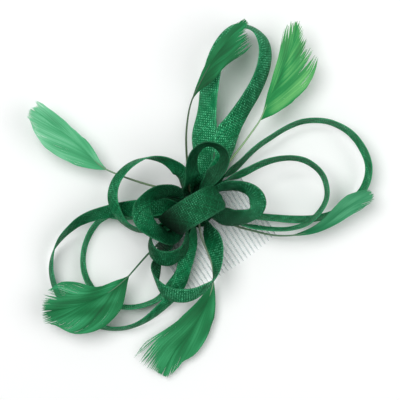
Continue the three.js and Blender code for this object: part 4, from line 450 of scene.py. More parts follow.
        [21.28, 41.92, 25.48], [22.15, 43.11, 25.8], [23.03, 44.28, 26.12], [23.93, 45.44, 26.45],
        [24.84, 46.58, 26.79], [25.77, 47.71, 27.14], [26.71, 48.82, 27.51], [27.66, 49.92, 27.9],
        [28.62, 51, 28.29], [29.61, 52.05, 28.7], [30.62, 53.09, 29.12], [31.64, 54.1, 29.54], [32.69, 55.08, 29.97],
        [33.77, 56.04, 30.39], [34.87, 56.97, 30.8], [36.01, 57.87, 31.19], [37.18, 58.72, 31.56],
        [38.39, 59.54, 31.9], [39.63, 60.33, 32.21], [40.89, 61.09, 32.48], [42.17, 61.84, 32.74],
        [43.45, 62.58, 32.98], [44.74, 63.33, 33.2], [46.02, 64.07, 33.42], [47.31, 64.82, 33.63],
        [48.6, 65.56, 33.83], [49.89, 66.3, 34.02], [51.2, 67.02, 34.21], [52.5, 67.74, 34.4], [53.82, 68.44, 34.59],
        [55.14, 69.13, 34.77], [56.47, 69.81, 34.96], [57.8, 70.46, 35.14], [59.15, 71.1, 35.33],
        [60.5, 71.73, 35.51], [61.87, 72.33, 35.69], [63.24, 72.92, 35.85], [64.63, 73.48, 35.99],
        [66.02, 74.02, 36.11], [67.43, 74.54, 36.21], [68.84, 75.04, 36.3], [70.26, 75.54, 36.38],
        [71.67, 76.02, 36.46], [73.09, 76.51, 36.55], [74.51, 76.99, 36.64], [75.94, 77.46, 36.73],
        [77.36, 77.92, 36.81], [78.8, 78.35, 36.89], [80.25, 78.75, 36.96], [81.7, 79.09, 37.03],
        [83.17, 79.4, 37.08], [84.65, 79.66, 37.12], [86.13, 79.92, 37.16], [87.61, 80.16, 37.2],
    ], "rows": [
        [2.72, 8.89, 17, 0.8, 0.8], [5.62, 15.4, 18.95, 0.8, 0.8], [9.16, 21.71, 20.94, 0.8, 0.8],
        [12.82, 28.14, 22.21, 0.8, 0.8], [16.47, 34.54, 23.66, 0.8, 0.8], [20.44, 40.72, 25.17, 0.8, 0.8],
        [24.84, 46.58, 26.79, 0.8, 0.8], [29.61, 52.05, 28.7, 0.8, 0.8], [34.87, 56.97, 30.8, 0.8, 0.8],
        [40.74, 61, 32.45, 0.8, 1.46], [46.99, 64.64, 33.57, 1.47, 5.48], [53.33, 68.18, 34.52, 2.3, 7.48],
        [59.83, 71.42, 35.42, 3.02, 9.1], [66.55, 74.22, 36.15, 4.59, 11.41], [73.45, 76.63, 36.57, 4.81, 14.24],
        [80.43, 78.79, 36.97, 4.25, 14.85], [87.61, 80.16, 37.2, 1.74, 1.61],
    ], "outline": [
        [35.68, 57.7], [37.85, 59.62], [41.9, 62.86], [46.42, 66.02], [50.66, 69.21], [55.19, 72.04], [59.34, 74.64],
        [63.16, 77.55], [67.43, 79.88], [71.25, 81.02], [76.52, 82.39], [81.5, 83.3], [85.78, 83.27], [89.61, 83.24],
        [92.95, 82.46], [94.38, 82.3], [91.65, 78.69], [88, 77.21], [88.03, 75.35], [87.06, 69.36], [86.68, 66.53],
        [84.86, 64.66], [79.45, 62.83], [74.61, 63.67], [69.68, 63.53], [64.11, 63.23], [59.12, 62.31],
        [51.31, 59.76], [45.42, 60.19], [40.43, 59.65],
    ]},
    "feather_right": {"ib": 40, "path": [
        [5.6, -7.43, 8], [6.55, -8.58, 7.99], [7.14, -9.95, 8.05], [7.72, -11.33, 8.11], [8.29, -12.71, 8.18],
        [8.85, -14.09, 8.25], [9.42, -15.47, 8.34], [10.02, -16.83, 8.43], [10.66, -18.18, 8.53],
        [11.35, -19.5, 8.63], [12.08, -20.79, 8.74], [12.86, -22.06, 8.85], [13.68, -23.3, 8.97],
        [14.53, -24.53, 9.08], [15.4, -25.73, 9.2], [16.31, -26.91, 9.32], [17.23, -28.08, 9.43],
        [18.18, -29.23, 9.55], [19.16, -30.35, 9.66], [20.15, -31.47, 9.77], [21.16, -32.56, 9.89],
        [22.17, -33.66, 10.01], [23.19, -34.74, 10.14], [24.2, -35.83, 10.28], [25.21, -36.92, 10.42],
        [26.22, -38.01, 10.58], [27.23, -39.1, 10.74], [28.25, -40.18, 10.92], [29.28, -41.25, 11.1],
        [30.32, -42.3, 11.3], [31.39, -43.32, 11.5], [32.49, -44.31, 11.72], [33.61, -45.26, 11.96],
        [34.76, -46.18, 12.21], [35.94, -47.06, 12.48], [37.14, -47.9, 12.77], [38.36, -48.71, 13.08],
        [39.59, -49.48, 13.41], [40.84, -50.23, 13.76], [42.1, -50.94, 14.12], [43.38, -51.61, 14.48],
        [44.68, -52.26, 14.85], [45.99, -52.87, 15.2], [47.33, -53.45, 15.52], [48.68, -54, 15.81],
        [50.06, -54.52, 16.07], [51.46, -55, 16.3], [52.87, -55.43, 16.5], [54.3, -55.83, 16.69],
        [55.74, -56.18, 16.85], [57.19, -56.49, 16.99], [58.65, -56.75, 17.12], [60.13, -56.97, 17.23],
        [61.61, -57.14, 17.33], [63.09, -57.27, 17.41], [64.58, -57.35, 17.49], [66.07, -57.39, 17.57],
        [67.56, -57.39, 17.64], [69.05, -57.35, 17.72], [70.54, -57.27, 17.8], [72.03, -57.16, 17.87],
        [73.52, -57.02, 17.93], [75, -56.85, 17.97], [76.48, -56.65, 18], [77.96, -56.43, 18.01],
        [79.43, -56.21, 18.02], [80.91, -55.99, 18.01], [82.39, -55.8, 18.01], [83.88, -55.64, 18],
        [85.37, -55.51, 18], [86.86, -55.43, 18], [88.35, -55.4, 18], [89.84, -55.43, 18], [91.32, -55.54, 18],
        [92.8, -55.71, 18], [94.28, -55.94, 18], [95.75, -56.18, 18], [97.23, -56.44, 18],
    ], "rows": [
        [5.6, -7.43, 8, 0.8, 0.8], [8.85, -14.09, 8.25, 0.8, 0.8], [12.08, -20.79, 8.74, 0.8, 0.8],
        [16.31, -26.92, 9.32, 0.8, 0.8], [21.16, -32.56, 9.89, 0.8, 0.8], [26.22, -38.01, 10.58, 0.8, 0.8],
        [31.39, -43.32, 11.5, 0.8, 0.8], [37.14, -47.9, 12.77, 0.8, 0.8], [43.38, -51.61, 14.48, 0.8, 0.8],
        [49.55, -54.33, 15.97, 1.35, 0.97], [56.1, -56.26, 16.88, 2.2, 1.95], [62.91, -57.25, 17.4, 3.28, 2.83],
        [69.8, -57.31, 17.76, 4.79, 3.87], [76.66, -56.62, 18, 5.71, 5.29], [83.5, -55.68, 18, 6.6, 6.39],
        [90.39, -55.47, 18, 5.96, 6.73], [97.23, -56.44, 18, 2.46, 2.82],
    ], "outline": [
        [43.37, -51.64], [47.12, -52.51], [52.29, -53.5], [57.26, -54.2], [61.78, -54.24], [67.29, -53.19],
        [73.03, -51.52], [77.5, -50.67], [82.4, -49.15], [87.38, -48.71], [91.43, -49.7], [96.62, -51.35],
        [100.1, -53.22], [101.24, -55.68], [101.14, -57.65], [100.01, -60.59], [96.23, -61.58], [89.54, -62.24],
        [83.42, -62.03], [76.8, -61.87], [69.93, -61.17], [63.27, -60.21], [57.19, -58.78], [51.86, -56.58],
        [47.79, -54.51],
    ]},
}


# ---------------------------------------------------------------- helpers
def rng(seed):
    return np.random.RandomState(seed)


def catmull(pts, step):
    """centripetal Catmull-Rom through pts; the first three columns set the spacing, and the result is even along it"""
    pts = np.array(pts, float)
    p = np.vstack([2 * pts[0] - pts[1], pts, 2 * pts[-1] - pts[-2]])
    t = np.r_[0, np.cumsum(np.maximum(np.linalg.norm(np.diff(p[:, :3], axis=0), axis=1), 1e-6) ** 0.5)]
    out = []
    n = 12
    for i in range(1, len(p) - 2):
        t0, t1, t2, t3 = t[i - 1:i + 3]
        for j in range(n):
            x = t1 + (t2 - t1) * j / n
            a1 = (t1 - x) / (t1 - t0) * p[i - 1] + (x - t0) / (t1 - t0) * p[i]
            a2 = (t2 - x) / (t2 - t1) * p[i] + (x - t1) / (t2 - t1) * p[i + 1]
            a3 = (t3 - x) / (t3 - t2) * p[i + 1] + (x - t2) / (t3 - t2) * p[i + 2]
            b1 = (t2 - x) / (t2 - t0) * a1 + (x - t0) / (t2 - t0) * a2
            b2 = (t3 - x) / (t3 - t1) * a2 + (x - t1) / (t3 - t1) * a3
            out.append((t2 - x) / (t2 - t1) * b1 + (x - t1) / (t2 - t1) * b2)
    out.append(p[-2])
    a = np.array(out)
    d = np.r_[0, np.cumsum(np.linalg.norm(np.diff(a[:, :3], axis=0), axis=1))]
    m = max(6, int(round(d[-1] / step)))
    s = np.linspace(0, d[-1], m + 1)
    return np.stack([np.interp(s, d, a[:, k]) for k in range(a.shape[1])], 1), s


def unit(a):
    return a / np.maximum(np.linalg.norm(a, axis=-1, keepdims=True), 1e-9)


def smooth_noise(r, n, period):
    """n samples of a smooth random curve in about -1..1, one knot every period samples"""
    k = max(4, int(math.ceil(n / period)) + 3)
    knots = r.uniform(-1, 1, k)
    x = np.linspace(1, k - 2.001, n)
    i = np.floor(x).astype(int)
    f = x - i
    f = f * f * (3 - 2 * f)
    return knots[i] * (1 - f) + knots[np.minimum(i + 1, k - 1)] * f


def make(name, verts, faces, uvs=None, colours=None, material=None, smooth=True):
    """mesh object from millimetre vertices; uvs and colours are per vertex"""
    me = bpy.data.meshes.new(name)
    me.from_pydata((np.asarray(verts) * MM).tolist(), [], [list(map(int, f)) for f in faces])
    loops = np.empty(len(me.loops), np.int32)
    me.loops.foreach_get("vertex_index", loops)
    if uvs is not None:
        layer = me.uv_layers.new(name="UVMap")
        layer.data.foreach_set("uv", np.asarray(uvs, np.float32)[loops].ravel())
    if colours is not None:
        att = me.color_attributes.new(name="tone", type="FLOAT_COLOR", domain="POINT")
        c = np.ones((len(me.vertices), 4), np.float32)
        c[:, :3] = np.asarray(colours, np.float32)
        att.data.foreach_set("color", c.ravel())
    me.validate()
    me.update()
    if smooth:
        me.polygons.foreach_set("use_smooth", [True] * len(me.polygons))
    o = bpy.data.objects.new(name, me)
    scene.collection.objects.link(o)
    if material is not None:
        me.materials.append(material)
    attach(o, "root")
    return o


def fix_normals(o):
    bm = bmesh.new()
    bm.from_mesh(o.data)
    bmesh.ops.recalc_face_normals(bm, faces=bm.faces)
    bm.to_mesh(o.data)
    bm.free()


def tube(path, radii, sides=8, twist=0.0):
    """closed round tube along path: verts, faces, uv"""
    path = np.asarray(path, float)
    t = unit(np.gradient(path, axis=0))
    ref = np.array([0, 0, 1.0]) if abs(t[0][2]) < 0.9 else np.array([1.0, 0, 0])
    n = np.cross(t[0], ref); n /= np.linalg.norm(n)
    V, U = [], []
    radii = np.broadcast_to(radii, (len(path),))
    d = np.r_[0, np.cumsum(np.linalg.norm(np.diff(path, axis=0), axis=1))]
    for i in range(len(path)):
        n = n - np.dot(n, t[i]) * t[i]
        n /= np.linalg.norm(n)
        b = np.cross(t[i], n)
        for j in range(sides):
            a = 2 * math.pi * j / sides + twist * d[i]
            V.append(path[i] + radii[i] * (math.cos(a) * n + math.sin(a) * b))
            U.append((d[i] / 10, j / sides))
    F = []
    for i in range(len(path) - 1):
        for j in range(sides):
            a, b2 = i * sides + j, i * sides + (j + 1) % sides
            F.append((a, b2, b2 + sides, a + sides))
    F.append(tuple(range(sides))[::-1])
    F.append(tuple((len(path) - 1) * sides + j for j in range(sides)))
    return V, F, U


def merge(parts):
    V, F, U = [], [], []
    for v, f, u in parts:
        k = len(V)
        V += list(v)
        F += [tuple(i + k for i in q) for q in f]
        U += list(u)
    return V, F, U


# ---------------------------------------------------------------- materials
def srgb(r, g, b):
    return tuple(((c / 255) / 12.92 if c / 255 <= 0.04045 else (((c / 255) + 0.055) / 1.055) ** 2.4) for c in (r, g, b)) + (1.0,)


class Nodes:
    def __init__(self, name):
        self.m = bpy.data.materials.new(name)
        self.m.use_nodes = True
        self.t = self.m.node_tree
        self.b = self.t.nodes["Principled BSDF"]

    def n(self, kind, **props):
        node = self.t.nodes.new(kind)
        for k, v in props.items():
            setattr(node, k, v)
        return node

    def link(self, a, b):
        self.t.links.new(a, b)

    def put(self, socket, v):
        if hasattr(v, "links") or hasattr(v, "is_linked"):
            self.link(v, socket)
        else:
            socket.default_value = v

    def math(self, op, a, b=None, c=None, clamp=False):
        node = self.n("ShaderNodeMath", operation=op, use_clamp=clamp)
        for i, v in enumerate((a, b, c)):
            if v is not None:
                self.put(node.inputs[i], v)
        return node.outputs[0]

    def mix(self, f, a, b, blend="MIX"):
        node = self.n("ShaderNodeMix", data_type="RGBA", blend_type=blend)
        self.put(node.inputs["Factor"], f)
        self.put(node.inputs[6], a)
        self.put(node.inputs[7], b)
        return node.outputs[2]

    def ramp(self, f, stops):
        node = self.n("ShaderNodeValToRGB")
        self.link(f, node.inputs[0])
        e = node.color_ramp.elements
        e[0].position, e[0].color = stops[0][0], stops[0][1]
        e[1].position, e[1].color = stops[-1][0], stops[-1][1]
        for p, c in stops[1:-1]:
            x = e.new(p)
            x.color = c
        return node.outputs[0]

    def noise(self, vec, scale, detail=3, rough=0.55):
        node = self.n("ShaderNodeTexNoise")
        node.inputs["Scale"].default_value = scale
        node.inputs["Detail"].default_value = detail
        node.inputs["Roughness"].default_value = rough
        if vec is not None:
            self.link(vec, node.inputs["Vector"])
        return node.outputs[0]

    def bump(self, h, strength, distance, normal=None):
        node = self.n("ShaderNodeBump")
        node.inputs["Strength"].default_value = strength
        node.inputs["Distance"].default_value = distance
        self.link(h, node.inputs["Height"])
        if normal is not None:
            self.link(normal, node.inputs["Normal"])
        return node.outputs[0]

    def set(self, **kv):
        for k, v in kv.items():
            self.put(self.b.inputs[k.replace("_", " ")], v)


def grey(v):
    return (v, v, v, 1)


def straw_cloth(name, tone=1.0, pitch=1.0, light=1.0):
    """stiff open-weave straw cloth on the bias: two sets of flat fibres at 45 degrees to the strip, dark pits between them"""
    k = Nodes(name)
    uv = k.n("ShaderNodeUVMap", uv_map="UVMap").outputs[0]           # 1 unit = 10 mm
    rot = k.n("ShaderNodeMapping")
    rot.inputs["Rotation"].default_value = (0, 0, math.radians(44))
    rot.inputs["Scale"].default_value = (11 / pitch, 11 / pitch, 1)
    k.link(uv, rot.inputs["Vector"])
    wob = k.n("ShaderNodeTexNoise")
    wob.inputs["Scale"].default_value = 0.5
    wob.inputs["Detail"].default_value = 2
    k.link(rot.outputs[0], wob.inputs["Vector"])
    off = k.n("ShaderNodeVectorMath", operation="SCALE")
    off.inputs["Scale"].default_value = 0.5
    k.link(wob.outputs["Color"], off.inputs[0])
    addv = k.n("ShaderNodeVectorMath", operation="ADD")
    k.link(rot.outputs[0], addv.inputs[0])
    k.link(off.outputs[0], addv.inputs[1])
    sep = k.n("ShaderNodeSeparateXYZ")
    k.link(addv.outputs[0], sep.inputs[0])
    a, b = sep.outputs[0], sep.outputs[1]
    ia, ib = k.math("FLOOR", a), k.math("FLOOR", b)
    fa = k.math("SUBTRACT", k.math("FRACT", a), 0.5)
    fb = k.math("SUBTRACT", k.math("FRACT", b), 0.5)
    wa = k.n("ShaderNodeTexWhiteNoise", noise_dimensions="1D"); k.link(ia, wa.inputs["W"])
    wb = k.n("ShaderNodeTexWhiteNoise", noise_dimensions="1D"); k.link(k.math("ADD", ib, 57.3), wb.inputs["W"])
    cell = k.n("ShaderNodeCombineXYZ"); k.link(ia, cell.inputs[0]); k.link(ib, cell.inputs[1])
    wc = k.n("ShaderNodeTexWhiteNoise", noise_dimensions="2D"); k.link(cell.outputs[0], wc.inputs["Vector"])
    # fibre half width varies from fibre to fibre
    ha_w = k.math("MULTIPLY_ADD", wa.outputs[0], 0.16, 0.27)
    hb_w = k.math("MULTIPLY_ADD", wb.outputs[0], 0.16, 0.27)
    ra = k.math("DIVIDE", fa, ha_w)
    rb = k.math("DIVIDE", fb, hb_w)
    ha = k.math("SUBTRACT", 1.0, k.math("MULTIPLY", ra, ra), clamp=True)
    hb = k.math("SUBTRACT", 1.0, k.math("MULTIPLY", rb, rb), clamp=True)
    over = k.math("MODULO", k.math("ABSOLUTE", k.math("ADD", ia, ib)), 2.0)
    ga = k.math("MULTIPLY", ha, k.math("MULTIPLY_ADD", over, 0.35, 0.65))
    gb = k.math("MULTIPLY", hb, k.math("MULTIPLY_ADD", over, -0.35, 1.0))
    h = k.math("MAXIMUM", ga, gb)
    cover = k.math("MULTIPLY", h, 2.4, clamp=True)
    which = k.math("GREATER_THAN", gb, ga)
    pick = k.n("ShaderNodeMix", data_type="FLOAT")
    k.link(which, pick.inputs[0]); k.link(wa.outputs[0], pick.inputs[2]); k.link(wb.outputs[0], pick.inputs[3])
    # each fibre has a shade of its own, each crossing a little
    shade = k.math("ADD", k.math("MULTIPLY", pick.outputs[0], 0.75), k.math("MULTIPLY", wc.outputs[0], 0.25))
    tint = lambda r, g, b: srgb(*[min(250, c * tone) for c in (r, g, b)])
    fibre = k.ramp(shade, [(0.05, tint(0, 84, 46)), (0.45, tint(2, 98, 56)), (0.80, tint(6, 110, 65)), (1.0, tint(16, 126, 78))])
    blot = k.noise(uv, 1.3, 4, 0.6)
    fibre = k.mix(k.math("MULTIPLY", blot, 0.40), fibre, tint(0, 72, 40))
    col = k.mix(cover, tint(0, 22, 10), fibre)
    # painted highlight: in patches the tops of the fibres are painted light, every second crossing, as if they caught
    # the light
    patch = k.ramp(k.noise(uv, 0.75, 2, 0.5), [(0.42 if light <= 1 else 0.33, grey(0.10)), (0.60 if light <= 1 else 0.5, grey(1.0))])
    top = k.math("MULTIPLY", k.math("GREATER_THAN", h, 0.72), k.math("MULTIPLY_ADD", wc.outputs[0], 0.8, 0.2))
    glint = k.math("MULTIPLY", k.math("MULTIPLY", top, over), k.math("MULTIPLY", patch, min(1.0, 0.66 * light)))
    col = k.mix(glint, col, tint(96, 200, 148))
    # the folded edges are painted a little lighter, partly wear and partly a painted highlight where they catch the
    # light; the second map holds the share of the width
    edge = k.n("ShaderNodeUVMap", uv_map="Across").outputs[0]
    se = k.n("ShaderNodeSeparateXYZ"); k.link(edge, se.inputs[0])
    ed = k.ramp(se.outputs[1], [(0.0, grey(1)), (0.04, grey(0.6)), (0.10, grey(0)), (0.90, grey(0)), (0.96, grey(0.6)), (1.0, grey(1))])
    spot = k.ramp(k.noise(uv, 9.0, 3, 0.6), [(0.35, grey(0.2)), (0.75, grey(1))])
    edf = k.math("MULTIPLY", k.math("MULTIPLY", ed, spot), 0.5)
    col = k.mix(edf, col, srgb(74 * tone, 156 * tone, 112 * tone))
    # the vertex tone multiplies the colour and carries painted light and shade: whole loops brightened or darkened,
    # painted shade towards the core and in places
    painted_tone_and_shade_attr = k.n("ShaderNodeVertexColor", layer_name="tone").outputs[0]
    col = k.mix(1.0, col, painted_tone_and_shade_attr, "MULTIPLY")
    k.link(col, k.b.inputs["Base Color"])
    rr = k.ramp(shade, [(0.0, grey(0.66)), (0.7, grey(0.52)), (1.0, grey(0.34))])
    k.link(rr, k.b.inputs["Roughness"])
    fine = k.noise(uv, 60.0, 2, 0.7)
    hb2 = k.math("ADD", h, k.math("MULTIPLY", fine, 0.25))
    k.link(k.bump(hb2, 0.8, 0.00025), k.b.inputs["Normal"])
    k.b.inputs["Specular IOR Level"].default_value = 0.14
    k.b.inputs["Sheen Weight"].default_value = 0.0
    k.b.inputs["Sheen Roughness"].default_value = 0.4
    k.b.inputs["Sheen Tint"].default_value = srgb(120, 220, 165)
    return k.m


def barb_material(name, base, light, dark):
    """feather barbs: tone per barb and clump in red, distance along the barb in green, fine ribs from the second map"""
    k = Nodes(name)
    at = k.n("ShaderNodeVertexColor", layer_name="tone").outputs[0]
    sp = k.n("ShaderNodeSeparateColor"); k.link(at, sp.inputs[0])
    col = k.ramp(sp.outputs[0], [(0.0, dark), (0.5, base), (1.0, light)])
    tip = k.math("POWER", sp.outputs[1], 3.0)
    col = k.mix(k.math("MULTIPLY", tip, 0.35), col, light)
    root = k.math("SUBTRACT", 1.0, sp.outputs[1])
    col = k.mix(k.math("MULTIPLY", k.math("POWER", root, 6.0), 0.10), col, dark)
    uv = k.n("ShaderNodeUVMap", uv_map="UVMap").outputs[0]
    st = k.n("ShaderNodeMapping"); st.inputs["Scale"].default_value = (6, 1.5, 1); k.link(uv, st.inputs["Vector"])
    nz = k.noise(st.outputs[0], 14, 3, 0.6)
    col = k.mix(k.math("MULTIPLY", nz, 0.22), col, dark)
    k.link(col, k.b.inputs["Base Color"])
    k.link(k.math("MULTIPLY_ADD", nz, 0.25, 0.42), k.b.inputs["Roughness"])
    k.link(k.bump(nz, 0.35, 0.0001), k.b.inputs["Normal"])
    k.b.inputs["Specular IOR Level"].default_value = 0.26
    k.b.inputs["Sheen Weight"].default_value = 0.06
    k.b.inputs["Sheen Roughness"].default_value = 0.35
    k.b.inputs["Sheen Tint"].default_value = light
    return k.m


def quill_material(name, root, tip):
    k = Nodes(name)
    uv = k.n("ShaderNodeUVMap", uv_map="UVMap").outputs[0]
    s = k.n("ShaderNodeSeparateXYZ"); k.link(uv, s.inputs[0])
    col = k.mix(k.math("MULTIPLY", s.outputs[0], 0.12, clamp=True), root, tip)
    mp = k.n("ShaderNodeMapping"); mp.inputs["Scale"].default_value = (1.2, 9, 1); k.link(uv, mp.inputs["Vector"])
    nz = k.noise(mp.outputs[0], 7, 4, 0.6)
    col = k.mix(k.math("MULTIPLY", nz, 0.4), col, tuple(c * 0.45 for c in root[:3]) + (1,))
    k.link(col, k.b.inputs["Base Color"])
    k.link(k.math("MULTIPLY_ADD", nz, 0.25, 0.22), k.b.inputs["Roughness"])
    k.link(k.bump(nz, 0.3, 0.0001), k.b.inputs["Normal"])
    k.b.inputs["Coat Weight"].default_value = 0.3
    k.b.inputs["Coat Roughness"].default_value = 0.25
    return k.m


def thread_material(name, a, b):
    k = Nodes(name)
    uv = k.n("ShaderNodeUVMap", uv_map="UVMap").outputs[0]
    w = k.n("ShaderNodeTexWave", wave_type="BANDS", bands_direction="DIAGONAL")
    w.inputs["Scale"].default_value = 5.0
    w.inputs["Distortion"].default_value = 1.0
    k.link(uv, w.inputs["Vector"])
    k.link(k.mix(w.outputs[1], a, b), k.b.inputs["Base Color"])
    k.link(k.bump(w.outputs[1], 0.6, 0.0001), k.b.inputs["Normal"])
    k.b.inputs["Roughness"].default_value = 0.6
    k.b.inputs["Sheen Weight"].default_value = 0.3
    return k.m


def felt_material(name):
    k = Nodes(name)
    tc = k.n("ShaderNodeTexCoord").outputs["Object"]
    big = k.noise(tc, 350, 5, 0.7)
    small = k.noise(tc, 2600, 3, 0.7)
    f = k.math("ADD", k.math("MULTIPLY", big, 0.6), k.math("MULTIPLY", small, 0.4))
    k.link(k.ramp(f, [(0.3, srgb(8, 40, 25)), (0.7, srgb(28, 82, 54))]), k.b.inputs["Base Color"])
    k.link(k.bump(f, 0.8, 0.0003), k.b.inputs["Normal"])
    k.b.inputs["Roughness"].default_value = 0.95
    k.b.inputs["Sheen Weight"].default_value = 0.5
    return k.m


def clear_plastic(name):
    k = Nodes(name)
    tc = k.n("ShaderNodeTexCoord").outputs["Object"]
    nz = k.noise(tc, 900, 3, 0.6)
    k.link(k.mix(nz, srgb(232, 240, 240), srgb(206, 218, 218)), k.b.inputs["Base Color"])
    k.link(k.math("MULTIPLY_ADD", nz, 0.14, 0.08), k.b.inputs["Roughness"])
    k.link(k.bump(nz, 0.12, 0.0001), k.b.inputs["Normal"])
    k.b.inputs["Transmission Weight"].default_value = 0.55
    k.b.inputs["IOR"].default_value = 1.49
    k.b.inputs["Alpha"].default_value = 0.55
    return k.m


M_STRAW = straw_cloth("straw_cloth")
# a coarser weave with stronger painted highlights on the fibre tops
M_COARSE_GLINT = straw_cloth("straw_cloth_coarse_glinting", 1.0, 1.18, 1.5)



# ---------------------------------------------------------------- straw-cloth loops
def section(n_side, sag, ridge):
    """across-strip positions on the unit width, closer together by the folded edges; sag and ridge are not used"""
    rows = []
    for i in range(n_side + 1):
        u = -0.5 + i / n_side
        # sinusoidal spacing puts more rows by the folded edges
        u = 0.5 * math.sin(math.pi * u) * 0.35 + u * 0.65
        rows.append(u)
    return rows


def strip(name, node, st, width, seed, step=1.25, sag=0.055, material=None, thick=0.95, seam=1, turns=10, flat_ends=False,
          tone=1.0, painted_light_and_shade_spots=(), wider=(), deep=0.72):
    """one bias strip, folded to a flat double layer and bent edge-on into a loop.
    st rows are centre and width vector; the closed section has soft folded edges and an overlap seam on the inner face."""
    a, s = catmull(st, step)
    P, Wv = a[:, :3].copy(), a[:, 3:6].copy()
    # a twist is spread over a few centimetres of the strip, not taken in one spot
    for _ in range(turns):
        Wv[1:-1] = 0.25 * Wv[:-2] + 0.5 * Wv[1:-1] + 0.25 * Wv[2:]
    wl0 = np.linalg.norm(a[:, 3:6], axis=1)
    Wv = unit(Wv) * wl0[:, None]
    # the ends run on into the bound core
    if not flat_ends:
        for end in (0, -1):
            out = unit(np.array([P[end][0], P[end][1], 0.0]))
            extra = P[end] - out * 1.5
            w_end = Wv[end].copy()
            if end == 0:
                P, Wv = np.vstack([extra, P]), np.vstack([w_end, Wv])
            else:
                P, Wv = np.vstack([P, extra]), np.vstack([Wv, w_end])
    s = np.r_[0, np.cumsum(np.linalg.norm(np.diff(P, axis=0), axis=1))]
    n = len(P)
    T = unit(np.gradient(P, axis=0))
    keep = np.linalg.norm(Wv, axis=1)
    Wv = unit(Wv - (Wv * T).sum(1, keepdims=True) * T) * keep[:, None]
    wl = keep.copy()
    Wd = Wv / wl[:, None]
    # the roots are gathered, not cut down: they spread up or down to what the neighbours leave free
    if not flat_ends:
        near = np.minimum(s, s[-1] - s)
        full = width * np.interp(near, [0, 3, 9, 16], [0.60, 0.72, 0.92, 1.0])
        for i in range(n):
            if near[i] < 24 and full[i] > wl[i]:
                z = P[0][2] if s[i] < s[-1] / 2 else P[-1][2]
                bias = 1.0 if z < 12 else (-0.8 if z > 20 else 0.0)
                up = Wd[i] * (1 if Wd[i][2] > 0 else -1)
                fade = min(1.0, abs(up[2]) * 1.5)
                gain = (full[i] - wl[i]) * fade
                P[i] = P[i] + up * gain / 2 * bias
                wl[i] += gain
        T = unit(np.gradient(P, axis=0))
        Wd = unit(Wd - (Wd * T).sum(1, keepdims=True) * T)
    N = np.cross(T, Wd)                                   # face direction
    r = rng(seed)
    for wx, wy, wr, wk in wider:                            # places where the cloth spreads
        wl = wl * (1 + (wk - 1) * np.exp(-((P[:, 0] - wx) ** 2 + (P[:, 1] - wy) ** 2) / wr ** 2))
    # painted shade: the cloth is darkened towards the core and low down, where shade falls among the gathered roots
    rho = np.hypot(P[:, 0], P[:, 1])
    painted_tone_and_shade = tone * (1 - deep * np.exp(-(rho / 21) ** 2) * np.clip((34 - P[:, 2]) / 16, 0, 1))
    # painted light and shade in places: darker or lighter round each given point
    for wx, wy, wr, wk in painted_light_and_shade_spots:
        painted_tone_and_shade = painted_tone_and_shade * (1 + (wk - 1) * np.exp(-((P[:, 0] - wx) ** 2 + (P[:, 1] - wy) ** 2) / wr ** 2))
    # the outer face is the one that looks away from the loop's middle
    mid = P.mean(0)
    outward = 1.0 if ((P - mid) * N).sum() > 0 else -1.0
    us = section(14, 0, 0)
    m = len(us)
    e1 = 0.11 * smooth_noise(r, n, 7 / step) + 0.05 * smooth_noise(r, n, 2.2 / step)
    e2 = 0.11 * smooth_noise(r, n, 7 / step) + 0.05 * smooth_noise(r, n, 2.2 / step)
    lump = [0.05 * smooth_noise(r, n, 6 / step) for _ in range(5)]
    warp = 0.22 * smooth_noise(r, n, 24 / step)
    pinch = np.clip((width * 0.97 - wl) / (width * 0.4), 0, 1)
    V, UVa, UVc, TC = [], [], [], []
    for i in range(n):
        w = wl[i]
        x, y, z = P[i], Wd[i], N[i]
        amp = w * sag * (1 + 0.4 * warp[i])
        ring = []
        for side in (1, -1):
            order = range(m) if side == 1 else range(m - 1, -1, -1)
            for j in order:
                u = us[j]
                across = u * w + (e2[i] if u > 0 else -e1[i]) * min(1, abs(u) * 2.4)
                q = 1 - (2 * abs(u)) ** 6
                half = 0.5 * thick * (0.12 + 0.88 * math.sqrt(max(q, 0)))
                # folded edges are a little fatter than the flat between them
                half *= 0.90 + 0.24 * math.exp(-((0.5 - abs(u)) / 0.10) ** 2)
                k = (u + 0.5) * 4
                k0 = min(3, int(k)); kf = k - k0
                bumpy = lump[k0][i] * (1 - kf) + lump[k0 + 1][i] * kf
                if seam and side == -outward * seam:
                    half += 0.10 / (1 + math.exp(-(u + 0.04) * w / 0.18)) - 0.05
                camber = outward * amp * (1 - (2 * u) ** 2) * 1.0
                gather = pinch[i] * 0.35 * math.sin(u * 5.2 * math.pi + 1.3)
                h = camber + side * half + bumpy + gather
                ring.append((x + y * across + z * h, u))
        for c, u in ring:
            V.append(c)
            TC.append((painted_tone_and_shade[i],) * 3)
        for idx, (c, u) in enumerate(ring):
            far = 0.0 if idx < m else 3.7
            UVa.append(((s[i] + far) / 10, u * w / 10 + (0 if idx < m else 4.1)))
            UVc.append((s[i] / 10, u + 0.5))
    k = 2 * m
    F = []
    for i in range(n - 1):
        for j in range(k):
            b = (j + 1) % k
            F.append((i * k + j, i * k + b, (i + 1) * k + b, (i + 1) * k + j))
    for base, flip in ((0, False), ((n - 1) * k, True)):
        # end caps as quads between the two faces
        for j in range(m - 1):
            q = (base + j, base + k - 1 - j, base + k - 2 - j, base + j + 1)
            F.append(q if flip else q[::-1])
    o = make(name, V, F, UVa, TC, material or M_STRAW)
    across = o.data.uv_layers.new(name="Across")
    loops = np.empty(len(o.data.loops), np.int32)
    o.data.loops.foreach_get("vertex_index", loops)
    across.data.foreach_set("uv", np.asarray(UVc, np.float32)[loops].ravel())
    fix_normals(o)
    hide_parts(node)
    return o
